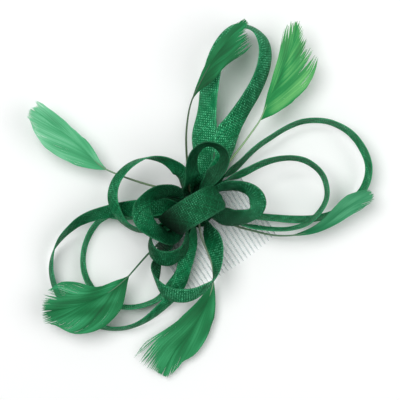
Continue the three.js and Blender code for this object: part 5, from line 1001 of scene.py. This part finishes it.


# per loop: the tone factor brightens or darkens the whole loop as painted light and shade, the narrow strips brighter
# as if lit through the weave; the spots paint light and shade in places; the depth sets the painted shade towards the
# core
LOOK = {
    "loop_centre": dict(flat_ends=True, turns=4, tone=0.94, painted_light_and_shade_spots=[(-19.1, -2.4, 9.0, 0.12), (-12.5, -2.0, 5.0, 0.75), (14.7, -3.6, 5.0, 0.80)]),
    "loop_top_large": dict(material=M_COARSE_GLINT, tone=1.75, wider=[(30.9, 33.0, 13.0, 1.22), (41.2, 24.7, 13.0, 1.25)], deep=0.5, painted_light_and_shade_spots=[(85.4, 47.9, 14.0, 0.72), (65.7, 34.7, 14.0, 0.72), (51.7, 66.3, 14.0, 1.18), (37.6, 42.2, 12.0, 1.05)]),
    "loop_left_upper": dict(tone=1.65, wider=[(0.5, 12.7, 13.0, 1.25)]),
    "loop_left_large": dict(tone=1.6, turns=24, wider=[(-12.7, 11.8, 13.0, 1.60)], painted_light_and_shade_spots=[(-69.5, 30.0, 18.0, 0.75), (-46.0, 30.3, 14.0, 0.80)]),
    "loop_left_inner": dict(tone=2.3, wider=[(-12.7, 11.8, 13.0, 1.60)]),
    "loop_right_large": dict(tone=2.05, painted_light_and_shade_spots=[(88.8, 9.2, 16.0, 0.85), (40.0, 5.9, 18.0, 0.75), (59.0, -49.7, 22.0, 0.78), (109.4, -43.3, 14.0, 1.15)]),
    "loop_right_inner": dict(tone=2.0, painted_light_and_shade_spots=[(57.4, -3.2, 14.0, 0.85), (55.3, -43.3, 14.0, 0.85)]),
    "loop_right_small": dict(material=M_COARSE_GLINT, tone=1.15, painted_light_and_shade_spots=[(18.7, -17.1, 10.0, 0.35), (27.9, -2.8, 9.0, 0.70)]),
    "loop_top_small": dict(tone=0.95, deep=0.5, painted_light_and_shade_spots=[(16.7, 24.3, 8.0, 0.70)]),
    "loop_left_small": dict(tone=1.1, wider=[(-13.8, 15.7, 9.0, 1.35)], painted_light_and_shade_spots=[(-10.9, 17.6, 9.0, 0.60), (-21.2, -6.6, 11.0, 0.42)]),
    "loop_left_lower": dict(tone=0.92),
    "loop_bottom": dict(material=M_COARSE_GLINT, tone=1.5, painted_light_and_shade_spots=[(-40.0, -20.6, 12.0, 0.55), (-27.7, -11.4, 11.0, 0.42)], wider=[(-31.2, -10.7, 9.0, 1.75)]),
}
for i, (name, (width, st)) in enumerate(LOOPS.items()):
    strip(name.replace("loop_", "straw_"), name, st, width, seed=11 + i, **LOOK.get(name, {}))


# ---------------------------------------------------------------- feathers
def inside(poly, x, y):
    """is the point in the polygon"""
    c = False
    n = len(poly)
    for i in range(n):
        x1, y1 = poly[i]
        x2, y2 = poly[i - 1]
        if (y1 > y) != (y2 > y) and x < (x2 - x1) * (y - y1) / (y2 - y1) + x1:
            c = not c
    return c


def feather(name, node, fd, seed, look, quill_look, dx=0.27, roof=(0.22, 0.22), ragged=2.2, notch=3.0, show=0.3,
            grow=0.10, relief=0.10, twist=0.0, base_rise=0.0, spoon=0.0, narrow=2.5, gather=0.5, tuft=9,
            blunt=0.75, stripes=0.16):
    """stripped quill with a vane of separate barbs. Barbs leave the shaft one after another, sweep forward beside
    each other without crossing, and are cut where they reach the vane's outline, raggedly at its tip."""
    path, rows, ib = np.array(fd["path"], float), np.array(fd["rows"], float), fd["ib"]
    poly = [tuple(p) for p in fd["outline"]]
    r = rng(seed)
    d = np.r_[0, np.cumsum(np.linalg.norm(np.diff(path, axis=0), axis=1))]
    total, v0 = d[-1], d[ib]
    length = total - v0
    # a fine table of the shaft with its frame, carried on past the tip
    fx = np.arange(0, total + 12, 0.25)
    end_t = unit(path[-1] - path[-5])
    fp = np.array([[np.interp(min(x, total), d, path[:, k]) for k in range(3)] for x in fx])
    past = np.maximum(fx - total, 0)[:, None]
    fp = fp + past * end_t
    ft = unit(np.gradient(fp, axis=0))
    k9 = np.ones(13) / 13
    for c in range(3):
        ft[:, c] = np.convolve(np.pad(ft[:, c], 6, mode="edge"), k9, "valid")
    ft = unit(ft)
    fl = unit(np.stack([-ft[:, 1], ft[:, 0], ft[:, 0] * 0], 1))
    fu = np.cross(ft, fl)
    fu *= np.sign(fu[:, 2:3])

    def at(x):
        q = x / 0.25
        i = np.clip(q.astype(int), 0, len(fx) - 2)
        f = (q - i)[:, None]
        return fp[i] * (1 - f) + fp[i + 1] * f, fl[i] * (1 - f) + fl[i + 1] * f, fu[i] * (1 - f) + fu[i + 1] * f

    # the shaft: stripped quill, then the rachis that thins out and sinks under the barbs
    xs = np.linspace(0, v0 + length * 0.9, 120)
    c, l, u = at(xs)
    rad = np.interp(xs, [0, 3, v0 * 0.6, v0, v0 + length * 0.35, v0 + length * 0.9], [0.60, 0.78, 0.68, 0.50, 0.30, 0.10])
    sink = np.interp(xs, [v0 - 2, v0 + length * show * 0.6, v0 + length * (show + 0.25)], [0.15, 0.12, -0.55])
    wob = 0.05 * smooth_noise(r, len(xs), 9)
    V, F, U = tube(c + l * wob[:, None] + u * sink[:, None], rad, 10)
    q = make(name + "_quill", V, F, U, None, quill_look)

    # the profile of the outermost barb on each side, measured from the outline
    px = np.array([p for p in poly])
    V, F, U, C = [], [], [], []
    for side in (1, -1):
        grid = np.arange(0, length + 0.01, 0.5)
        c, l, u = at(v0 + grid)
        reach = []
        for i in range(len(grid)):
            lo, hi = 0.0, 40.0
            # walk outwards to the outline
            w = 0.0
            while w < 40 and inside(poly, *(c[i][:2] + side * l[i][:2] * (w + 0.2))):
                w += 0.2
            reach.append(w)
        reach = np.array(reach)
        k7 = np.ones(7) / 7
        limit = np.convolve(np.pad(reach, 3, mode="edge"), k7, "valid")
        peak = int(np.argmax(limit))
        fall = np.gradient(limit, 0.5)
        drop = [i for i in range(peak, len(grid)) if fall[i] < -blunt and grid[i] > 0.55 * length]
        i_tip = min(drop[0] if drop else len(grid) - 1, len(grid) - 1)
        x_tip = grid[i_tip]
        limit[i_tip:] = max(limit[i_tip], 0.8)
        limit[:peak + 1] = np.maximum.accumulate(limit)[:peak + 1]
        E = np.maximum.accumulate(np.r_[0.15, reach[1:]])
        kk = np.ones(9) / 9
        E = np.convolve(np.pad(E, 4, mode="edge"), kk, "valid")
        E[0] = 0.1
        E = np.maximum.accumulate(E)
        E = np.minimum(E, grid * 1.5 + 0.3)
        E = E + grow * np.maximum(grid - grid[int(np.argmax(E > 0.9 * E[-1]))], 0)

        def hug(y, x):
            lim = np.interp(x, grid, limit) + 0.15
            free = np.clip((grid[min(peak, len(grid) - 1)] * 0.6 - x) / 3, 0, 1)    # near the base the barbs set the edge
            lim = lim + free * 3
            q = np.maximum(y, 1e-3)
            return (q ** -7.0 + np.maximum(lim, 0.2) ** -7.0) ** (-1 / 7.0)

        n = int(length * 0.97 / dx)
        big = smooth_noise(r, n + 4, 26)
        mid = smooth_noise(r, n + 4, 8)
        small = smooth_noise(r, n + 4, 3.2)
        fine = r.uniform(-1, 1, n + 4)
        H = relief * (0.55 * mid + 0.45 * small) + 0.03 * fine
        tone_mid = smooth_noise(r, n + 4, 7)
        tone_small = smooth_noise(r, n + 4, 2.4)
        cut = np.clip(smooth_noise(r, n + 4, 11) * 0.6 + smooth_noise(r, n + 4, 4) * 0.4, -1, 1)
        # barbs cling together in tufts whose ends draw in to a point
        ph = r.uniform(0, 6.28, 3)
        tufts, j = [], 0
        while j < n + 4:
            k = int(tuft * r.uniform(0.55, 1.5)) + 2
            tufts += [(j + k / 2, k / 2)] * k
            j += k
        for i in range(1, n):
            x0 = (i + 0.35 * fine[i]) * dx
            mid_i, half_i = tufts[i]
            x0c = mid_i * dx
            xi = np.arange(0, length - x0 + 9, 0.8)
            ease = 1 / (1 + narrow * (x0 / length))         # barbs lie closer to the shaft towards the tip
            y = hug(np.interp(xi * ease, grid, E), x0 + xi)
            y = y * (1 + 0.035 * mid[i] * np.minimum(xi / 14, 1)) + 0.25 * small[i] * np.minimum(xi / 22, 1)
            c, l, u = at(v0 + x0 + xi)
            plan = c[:, :2] + side * l[:, :2] * y[:, None]
            m = len(xi)
            for j in range(2, len(xi)):
                if not inside(poly, *plan[j]):
                    m = j
                    break
            leave = (x0 + xi[min(m, len(xi) - 1)]) / length
            tipness = np.clip((leave - min(x_tip / length, 0.9) + 0.10) / 0.10, 0, 1)
            off = abs(i - mid_i) / half_i
            extra = tipness * (ragged * r.uniform(-0.5, 0.6) - notch * max(0, cut[i]) ** 1.5 - ragged * 0.9 * off * off + 0.8)
            stop = max(1.2, xi[min(m, len(xi) - 1)] + extra)
            if r.random() < 0.22:                           # some barbs end sooner, under their neighbours
                stop *= r.uniform(0.82, 1.0)
            stop = min(stop, length - x0 + 6)
            seg = int(np.clip(stop / 2.6, 4, 15))
            uu = np.linspace(0, 1, seg + 1)
            s = uu * stop
            c, l, u = at(v0 + x0 + s)
            y = hug(np.interp(s * ease, grid, E), x0 + s)
            yc = hug(np.interp(np.maximum(x0 + s - x0c, 0) / (1 + narrow * (x0c / length)), grid, E), x0 + s)
            y = y + (yc - y) * gather * tipness * np.clip((uu - 0.74) / 0.26, 0, 1) ** 1.3
            y = y * (1 + 0.035 * mid[i] * np.minimum(s / 14, 1)) + 0.25 * small[i] * np.minimum(s / 22, 1)
            y = y + 0.2 * np.sin(s * 0.35 + 6 * fine[i]) * np.minimum(s / 30, 1) * fine[i]
            open_ = np.minimum(s / 6, 1)
            a, b = roof
            slope = -(a if side == 1 else b)
            h0 = slope * y + spoon * (y / 10) ** 2 + base_rise * (1 - np.minimum((x0 + s) / (length * 0.5), 1))
            h0 = h0 + 0.12 * np.sin(math.pi * uu)
            if twist:
                h0 = h0 + side * twist * y * ((x0 + s) / length)
            pts = c + side * l * y[:, None] + u * h0[:, None]
            T = unit(np.gradient(pts, axis=0))
            b_ = unit(np.cross(T, u)) * -side           # points away from the shaft's inner neighbour
            wide = 0.5 * dx * 1.9 * np.interp(uu, [0, 0.08, 0.7, 0.9, 1], [0.8, 1.0, 0.95, 0.6, 0.16])
            th = np.interp(uu, [0, 0.7, 1], [0.11, 0.08, 0.04])
            settle = np.interp(uu, [0, 0.5, 1], [0.35, 0.6, 1.0])
            open_ = open_ * settle
            hc, hm, hp = H[i], 0.5 * (H[i] + H[i - 1]), 0.5 * (H[i] + H[i + 1])
            k0 = len(V)
            field = np.sin(0.16 * (x0 + s) + ph[0] + 1.7 * np.sin(0.33 * y + ph[1])) * np.sin(0.23 * y - 0.07 * (x0 + s) + ph[2])
            tone = np.clip(0.5 + stripes * (0.9 * tone_mid[i] + 0.8 * tone_small[i] + 0.5 * fine[i]) * (0.45 + 0.55 * uu)
                           + 0.10 * big[i] + 0.20 * field - 0.10 * (1 - uu) ** 3, 0, 1)
            ring = (pts - b_ * wide[:, None] + u * (hp * open_)[:, None],
                    pts + u * (hc * open_ + th)[:, None],
                    pts + b_ * wide[:, None] + u * (hm * open_)[:, None],
                    pts + u * (hc * open_ - th * 0.6)[:, None])
            for j in range(seg + 1):
                for w in range(4):
                    V.append(ring[w][j])
                    U.append((i * 0.037 + w * 0.008, s[j] / 10))
                    C.append((tone[j], uu[j], min(1, (x0 + s[j]) / length)))
            for j in range(seg):
                for w in range(4):
                    a1, b1 = k0 + j * 4 + w, k0 + j * 4 + (w + 1) % 4
                    F.append((a1, b1, b1 + 4, a1 + 4))
            F.append((k0 + 3, k0 + 2, k0 + 1, k0))
            e = k0 + seg * 4
            F.append((e, e + 1, e + 2, e + 3))
    o = make(name + "_vane", V, F, U, np.clip(C, 0, 1), look, smooth=False)
    fix_normals(o)
    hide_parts(node)
    return q, o


BARB = {
    "feather_upper_left": barb_material("barbs_mint", srgb(84, 182, 128), srgb(160, 232, 192), srgb(34, 128, 78)),
    "feather_top_right": barb_material("barbs_leaf", srgb(34, 150, 78), srgb(124, 208, 122), srgb(10, 92, 44)),
    "feather_bottom": barb_material("barbs_green", srgb(10, 124, 68), srgb(70, 184, 122), srgb(2, 78, 38)),
    "feather_lower_left": barb_material("barbs_mid", srgb(8, 118, 64), srgb(64, 176, 118), srgb(1, 66, 32)),
    "feather_top": barb_material("barbs_deep", srgb(0, 108, 56), srgb(40, 160, 98), srgb(0, 56, 27)),
    "feather_right": barb_material("barbs_soft", srgb(38, 136, 88), srgb(96, 184, 136), srgb(12, 88, 52)),
}
QUILL = {
    "feather_upper_left": quill_material("quill_olive", srgb(112, 128, 92), srgb(120, 170, 130)),
    "feather_top_right": quill_material("quill_lime", srgb(150, 178, 120), srgb(120, 176, 124)),
    "feather_bottom": quill_material("quill_pale", srgb(150, 168, 140), srgb(110, 160, 120)),
    "feather_lower_left": quill_material("quill_dark", srgb(44, 86, 56), srgb(70, 130, 88)),
    "feather_top": quill_material("quill_brown", srgb(96, 110, 80), srgb(40, 92, 60)),
    "feather_right": quill_material("quill_moss", srgb(88, 112, 80), srgb(90, 150, 108)),
}
SETUP = {
    "feather_upper_left": dict(seed=101, roof=(0.02, 0.09), ragged=1.4, notch=1.2, show=0.02, narrow=9.0, gather=0.4, relief=0.09, stripes=0.20, dx=0.24, blunt=1.0),
    "feather_top_right": dict(seed=102, roof=(0.03, 0.14), ragged=3.0, notch=4.2, show=0.02, narrow=6.0, gather=0.6, relief=0.12, tuft=11, stripes=0.20, blunt=0.9),
    "feather_bottom": dict(seed=103, roof=(0.02, 0.09), ragged=2.8, notch=3.0, show=0.0, narrow=6.0, gather=0.6, relief=0.07, stripes=0.15),
    "feather_lower_left": dict(seed=104, roof=(0.05, 0.05), ragged=2.4, notch=2.6, show=0.22, narrow=3.2, gather=0.45, relief=0.08, stripes=0.20, tuft=9, blunt=1.1, dx=0.23),
    "feather_top": dict(seed=105, roof=(0.10, 0.0), ragged=2.4, notch=2.6, show=0.5, narrow=4.0, gather=0.6, relief=0.07, stripes=0.15),
    "feather_right": dict(seed=106, roof=(0.05, 0.09), ragged=1.4, notch=1.6, show=0.02, narrow=5.0, gather=0.5, relief=0.07, stripes=0.15),
}
for name, fd in FEATHERS.items():
    feather(name.replace("feather_", "plume_"), name, fd, look=BARB[name], quill_look=QUILL[name], **SETUP[name])


# ---------------------------------------------------------------- comb: clear moulded plastic
def comb_piece():
    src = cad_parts["comb"]
    me = src.data.copy()
    me.name = "comb_clear"
    o = bpy.data.objects.new("comb_clear", me)
    scene.collection.objects.link(o)
    o.matrix_world = src.matrix_world.copy()
    me.materials.clear()
    me.materials.append(clear_plastic("clear_plastic"))
    bm = bmesh.new()
    bm.from_mesh(me)
    bmesh.ops.remove_doubles(bm, verts=bm.verts, dist=2e-6)
    bmesh.ops.dissolve_limit(bm, angle_limit=math.radians(1.5), verts=bm.verts, edges=bm.edges)
    bmesh.ops.recalc_face_normals(bm, faces=bm.faces)
    bm.to_mesh(me)
    bm.free()
    bev = o.modifiers.new("bevel", "BEVEL")
    bev.width = 0.00022
    bev.segments = 2
    bev.limit_method = "ANGLE"
    bev.angle_limit = math.radians(28)
    me.polygons.foreach_set("use_smooth", [True] * len(me.polygons))
    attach(o, "root")
    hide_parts("comb")
    return o


comb = comb_piece()


# ---------------------------------------------------------------- felt pad
def felt_pad():
    lo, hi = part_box("felt_base")
    cx, cy = (lo[0] + hi[0]) / 2 / MM, (lo[1] + hi[1]) / 2 / MM
    rx, ry = (hi[0] - lo[0]) / 2 / MM, (hi[1] - lo[1]) / 2 / MM
    z0, z1 = lo[2] / MM, hi[2] / MM
    r = rng(5)
    n, rings = 96, 12
    fuzz = smooth_noise(r, n, 3) * 0.12
    V, F, U = [], [], []
    prof = [(0.0, z0), (0.5, z0), (0.9, z0), (0.97, z0 + 0.12), (1.0, z0 + 0.5), (0.99, z1 - 0.3), (0.95, z1 - 0.08), (0.8, z1), (0.55, z1 + 0.02), (0.3, z1)]
    for k, (f, z) in enumerate(prof):
        if f == 0:
            continue
        for j in range(n):
            a = 2 * math.pi * j / n
            g = f + (fuzz[j] / rx if f > 0.8 else 0) - 0.008
            zz = z + (0.05 * math.sin(7 * a + k) if 0.3 < f < 0.98 else 0)
            V.append((cx + rx * g * math.cos(a), cy + ry * g * math.sin(a), zz))
            U.append((rx * g * math.cos(a) / 10, ry * g * math.sin(a) / 10))
    rows = len(V) // n
    for i in range(rows - 1):
        for j in range(n):
            b = (j + 1) % n
            F.append((i * n + j, i * n + b, (i + 1) * n + b, (i + 1) * n + j))
    V += [(cx, cy, z0), (cx, cy, z1)]
    U += [(0, 0), (0, 0)]
    for j in range(n):
        b = (j + 1) % n
        F.append((len(V) - 2, b, j))
        F.append((len(V) - 1, (rows - 1) * n + j, (rows - 1) * n + b))
    o = make("felt_pad", V, F, U, None, felt_material("felt"))
    fix_normals(o)
    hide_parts("felt_base")
    return o


felt_pad()

# ---------------------------------------------------------------- stitching: turns of sewing thread round the spine and the pad
THREAD = thread_material("sewing_thread", srgb(18, 74, 46), srgb(46, 118, 80))


def rounded_loop(x, y0, y1, z0, z1, rad, skew, n=10):
    pts = []
    for cx, cz, a0 in ((y1 - rad, z1 - rad, 0), (y0 + rad, z1 - rad, 90), (y0 + rad, z0 + rad, 180), (y1 - rad, z0 + rad, 270)):
        for k in range(n):
            a = math.radians(a0 + 90 * k / (n - 1))
            pts.append((x, cx + rad * math.cos(a), cz + rad * math.sin(a)))
    p = np.array(pts)
    p[:, 0] += skew * np.sin(np.linspace(0, 2 * math.pi, len(p)))
    return np.vstack([p, p[:1]])


def stitching():
    lo, hi = [np.array(v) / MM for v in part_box("comb_stitching")]
    parts = []
    pitch = 73 / 24
    for wi, x in enumerate([-4 * pitch, -3 * pitch, 3 * pitch, 4 * pitch]):
        for k, dx in enumerate((-0.22, 0.0, 0.22)):
            p = rounded_loop(x + dx, lo[1] + 0.14, hi[1] - 0.14, lo[2] + 0.13 + 0.05 * (k % 2), hi[2] - 0.13 - 0.05 * (k % 2), 0.7, 0.05)
            parts.append(tube(p[:-1], 0.13, 6, 0.0))
            # close the ring
            V, F, U = parts[-1]
            m = len(p) - 1
            F[:] = [f for f in F if len(f) == 4 and len(f) != 6]
            for j in range(6):
                a, b = (m - 1) * 6 + j, (m - 1) * 6 + (j + 1) % 6
                F.append((a, b, (j + 1) % 6, j))
    run = np.array([(lo[0] + 0.2 + (hi[0] - lo[0] - 0.4) * t, hi[1] - 0.34 + 0.05 * math.sin(9 * t), 0.42 + 0.05 * math.cos(7 * t)) for t in np.linspace(0, 1, 40)])
    for k in (-0.12, 0.12):
        parts.append(tube(run + np.array([0, k, abs(k)]), 0.13, 6))
    V, F, U = merge(parts)
    o = make("comb_thread_wraps", V, F, U, None, THREAD)
    fix_normals(o)
    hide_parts("comb_stitching")
    return o


stitching()


# ---------------------------------------------------------------- core: gathered ends wound with thread
def core():
    prof = [(5.2, 5.05), (6.9, 5.1), (7.7, 6.6), (8.0, 9), (8.1, 12), (7.5, 14.6), (8.1, 17), (7.5, 20), (8.1, 23.5), (7.1, 26.0), (6.2, 27.2), (3.0, 27.4)]
    pz = np.array([p[1] for p in prof])
    pr = np.array([p[0] for p in prof])
    n = 60
    r = rng(9)
    V, F, U = [], [], []
    zs = np.linspace(5.05, 27.4, 46)
    for i, z in enumerate(zs):
        rad = np.interp(z, pz, pr)
        for j in range(n):
            a = 2 * math.pi * j / n
            # pleats of the gathered cloth
            g = rad - 0.35 + 0.28 * math.sin(11 * a + 0.3 * z) + 0.14 * math.sin(17 * a - 0.2 * z)
            V.append((g * math.cos(a), g * math.sin(a), z))
            U.append((a * 8 / 10, z / 10))
    for i in range(len(zs) - 1):
        for j in range(n):
            b = (j + 1) % n
            F.append((i * n + j, i * n + b, (i + 1) * n + b, (i + 1) * n + j))
    k = len(V)
    V += [(0, 0, 5.05), (0, 0, 27.4)]
    U += [(0, 0), (0, 0)]
    top = (len(zs) - 1) * n
    for j in range(n):
        b = (j + 1) % n
        F.append((k, b, j))
        F.append((k + 1, top + j, top + b))
    # the core's cloth is painted at a darker tone, as painted shade among the roots
    o = make("bound_core_wound", V, F, U, np.full((len(V), 3), 0.4), M_STRAW)
    across = o.data.uv_layers.new(name="Across")
    across.data.foreach_set("uv", np.full((len(o.data.loops), 2), 0.5, np.float32).ravel())
    fix_normals(o)
    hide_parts("bound_core")
    # windings: three bands of thread
    parts = []
    for z0, z1, turns in ((6.2, 10.4, 12), (13.4, 16.0, 8), (18.8, 22.0, 9)):
        t = np.linspace(0, 1, turns * 26)
        ang = 2 * math.pi * turns * t
        zz = z0 + (z1 - z0) * t + 0.22 * np.sin(3 * ang / turns * 2 + z0)
        rr = np.interp(zz, pz, pr) - 0.04 + 0.05 * np.sin(5 * ang)
        parts.append(tube(np.stack([rr * np.cos(ang), rr * np.sin(ang), zz], 1), 0.16, 6))
    V, F, U = merge(parts)
    w = make("core_winding", V, F, U, None, THREAD)
    fix_normals(w)
    return o


core()

# ---------------------------------------------------------------- the strips' cut ends, fanned out flat under the knot
def cut_ends():
    r = rng(31)
    parts_v, parts_f, parts_u, parts_c = [], [], [], []
    count = 13
    for i in range(count):
        ang = 2 * math.pi * (i + 0.3 * r.uniform(-1, 1)) / count
        reach = 15.2 + r.uniform(-1.2, 0.6) + 6.0 * math.exp(-((math.degrees(ang) - 128) / 24) ** 2)
        half = 4.0 + r.uniform(-0.3, 0.5)
        lay = 5.72 + 0.30 * (i % 2)
        rad = np.array([math.cos(ang), math.sin(ang)])
        tan = np.array([-rad[1], rad[0]])
        nu, nv = 11, 13
        top, low = [], []
        skew = r.uniform(-0.18, 0.18)
        fray = r.uniform(-0.35, 0.35, nv)
        for a in range(nu):
            f = a / (nu - 1)
            for b in range(nv):
                g = b / (nv - 1) * 2 - 1
                rr = 6.5 + (reach - 6.5 + fray[b] * (f > 0.95)) * f
                p = rad * rr + tan * (half * g * (0.72 + 0.28 * f) + skew * (rr - 6.5))
                z = lay + 0.10 * math.sin(5 * g + i) * f + 0.08 * math.sin(7 * f + 2 * i)
                edge = 0.16 * (1 - max(0, abs(g) - 0.8) / 0.2 * 0.7)
                top.append((p[0], p[1], z + edge))
                low.append((p[0], p[1], z - edge))
                parts_u.append(None)
        k = len(parts_v)
        parts_v += top + low
        del parts_u[-nu * nv:]
        for a in range(nu):
            for b in range(nv):
                parts_u.append((a / (nu - 1) * 0.9 + i, b / (nv - 1) * 0.85))
        parts_u += parts_u[-nu * nv:]
        o2 = nu * nv
        for a in range(nu - 1):
            for b in range(nv - 1):
                q = k + a * nv + b
                parts_f.append((q, q + 1, q + nv + 1, q + nv))
                parts_f.append((q + o2, q + o2 + nv, q + o2 + nv + 1, q + o2 + 1))
        for a in range(nu - 1):
            for b in (0, nv - 1):
                q = k + a * nv + b
                f = (q, q + nv, q + nv + o2, q + o2)
                parts_f.append(f if b == 0 else f[::-1])
        for b in range(nv - 1):
            for a in (0, nu - 1):
                q = k + a * nv + b
                f = (q, q + 1, q + 1 + o2, q + o2)
                parts_f.append(f if a else f[::-1])
    # the cut ends are painted darker too, as painted shade under the knot
    o = make("core_cut_ends", parts_v, parts_f, parts_u, np.full((len(parts_v), 3), 0.45), M_STRAW)
    across = o.data.uv_layers.new(name="Across")
    across.data.foreach_set("uv", np.full((len(o.data.loops), 2), 0.5, np.float32).ravel())
    fix_normals(o)


cut_ends()

# ---------------------------------------------------------------- floor and light
bm = bmesh.new()
bmesh.ops.create_grid(bm, x_segments=2, y_segments=2, size=1.6)
floor_me = bpy.data.meshes.new("floor")
bm.to_mesh(floor_me)
bm.free()
floor = bpy.data.objects.new("floor", floor_me)
floor.location = (0, 0, -0.0002)
scene.collection.objects.link(floor)
kf = Nodes("paper")
tc = kf.n("ShaderNodeTexCoord").outputs["Object"]
kf.link(kf.mix(kf.math("MULTIPLY", kf.noise(tc, 40, 2), 0.2), srgb(253, 254, 254), srgb(250, 251, 251)), kf.b.inputs["Base Color"])
kf.b.inputs["Roughness"].default_value = 0.9
kf.b.inputs["Specular IOR Level"].default_value = 0.1
floor_me.materials.append(kf.m)


def area(name, place, look_at, size, power, colour=(1, 1, 1)):
    l = bpy.data.lights.new(name, "AREA")
    l.shape = "DISK"
    l.size = size
    l.energy = power
    l.color = colour
    o = bpy.data.objects.new(name, l)
    o.location = place
    o.rotation_euler = (Vector(look_at) - Vector(place)).to_track_quat("-Z", "Y").to_euler()
    scene.collection.objects.link(o)
    return o


def pic(right, up, z):
    """picture directions to frame metres"""
    return (right * CO + up * SI, -right * SI + up * CO, z)


area("key", pic(-0.38, 0.34, 1.25), (0, 0, 0.02), 0.9, KEY)
area("fill", pic(0.78, -0.10, 1.00), (0, 0, 0.02), 1.1, FILL)
world = bpy.data.worlds.new("studio")
world.use_nodes = True
world.node_tree.nodes["Background"].inputs[0].default_value = (1, 1, 1, 1)
world.node_tree.nodes["Background"].inputs[1].default_value = WORLD
scene.world = world
scene.view_settings.exposure = EXPOSURE
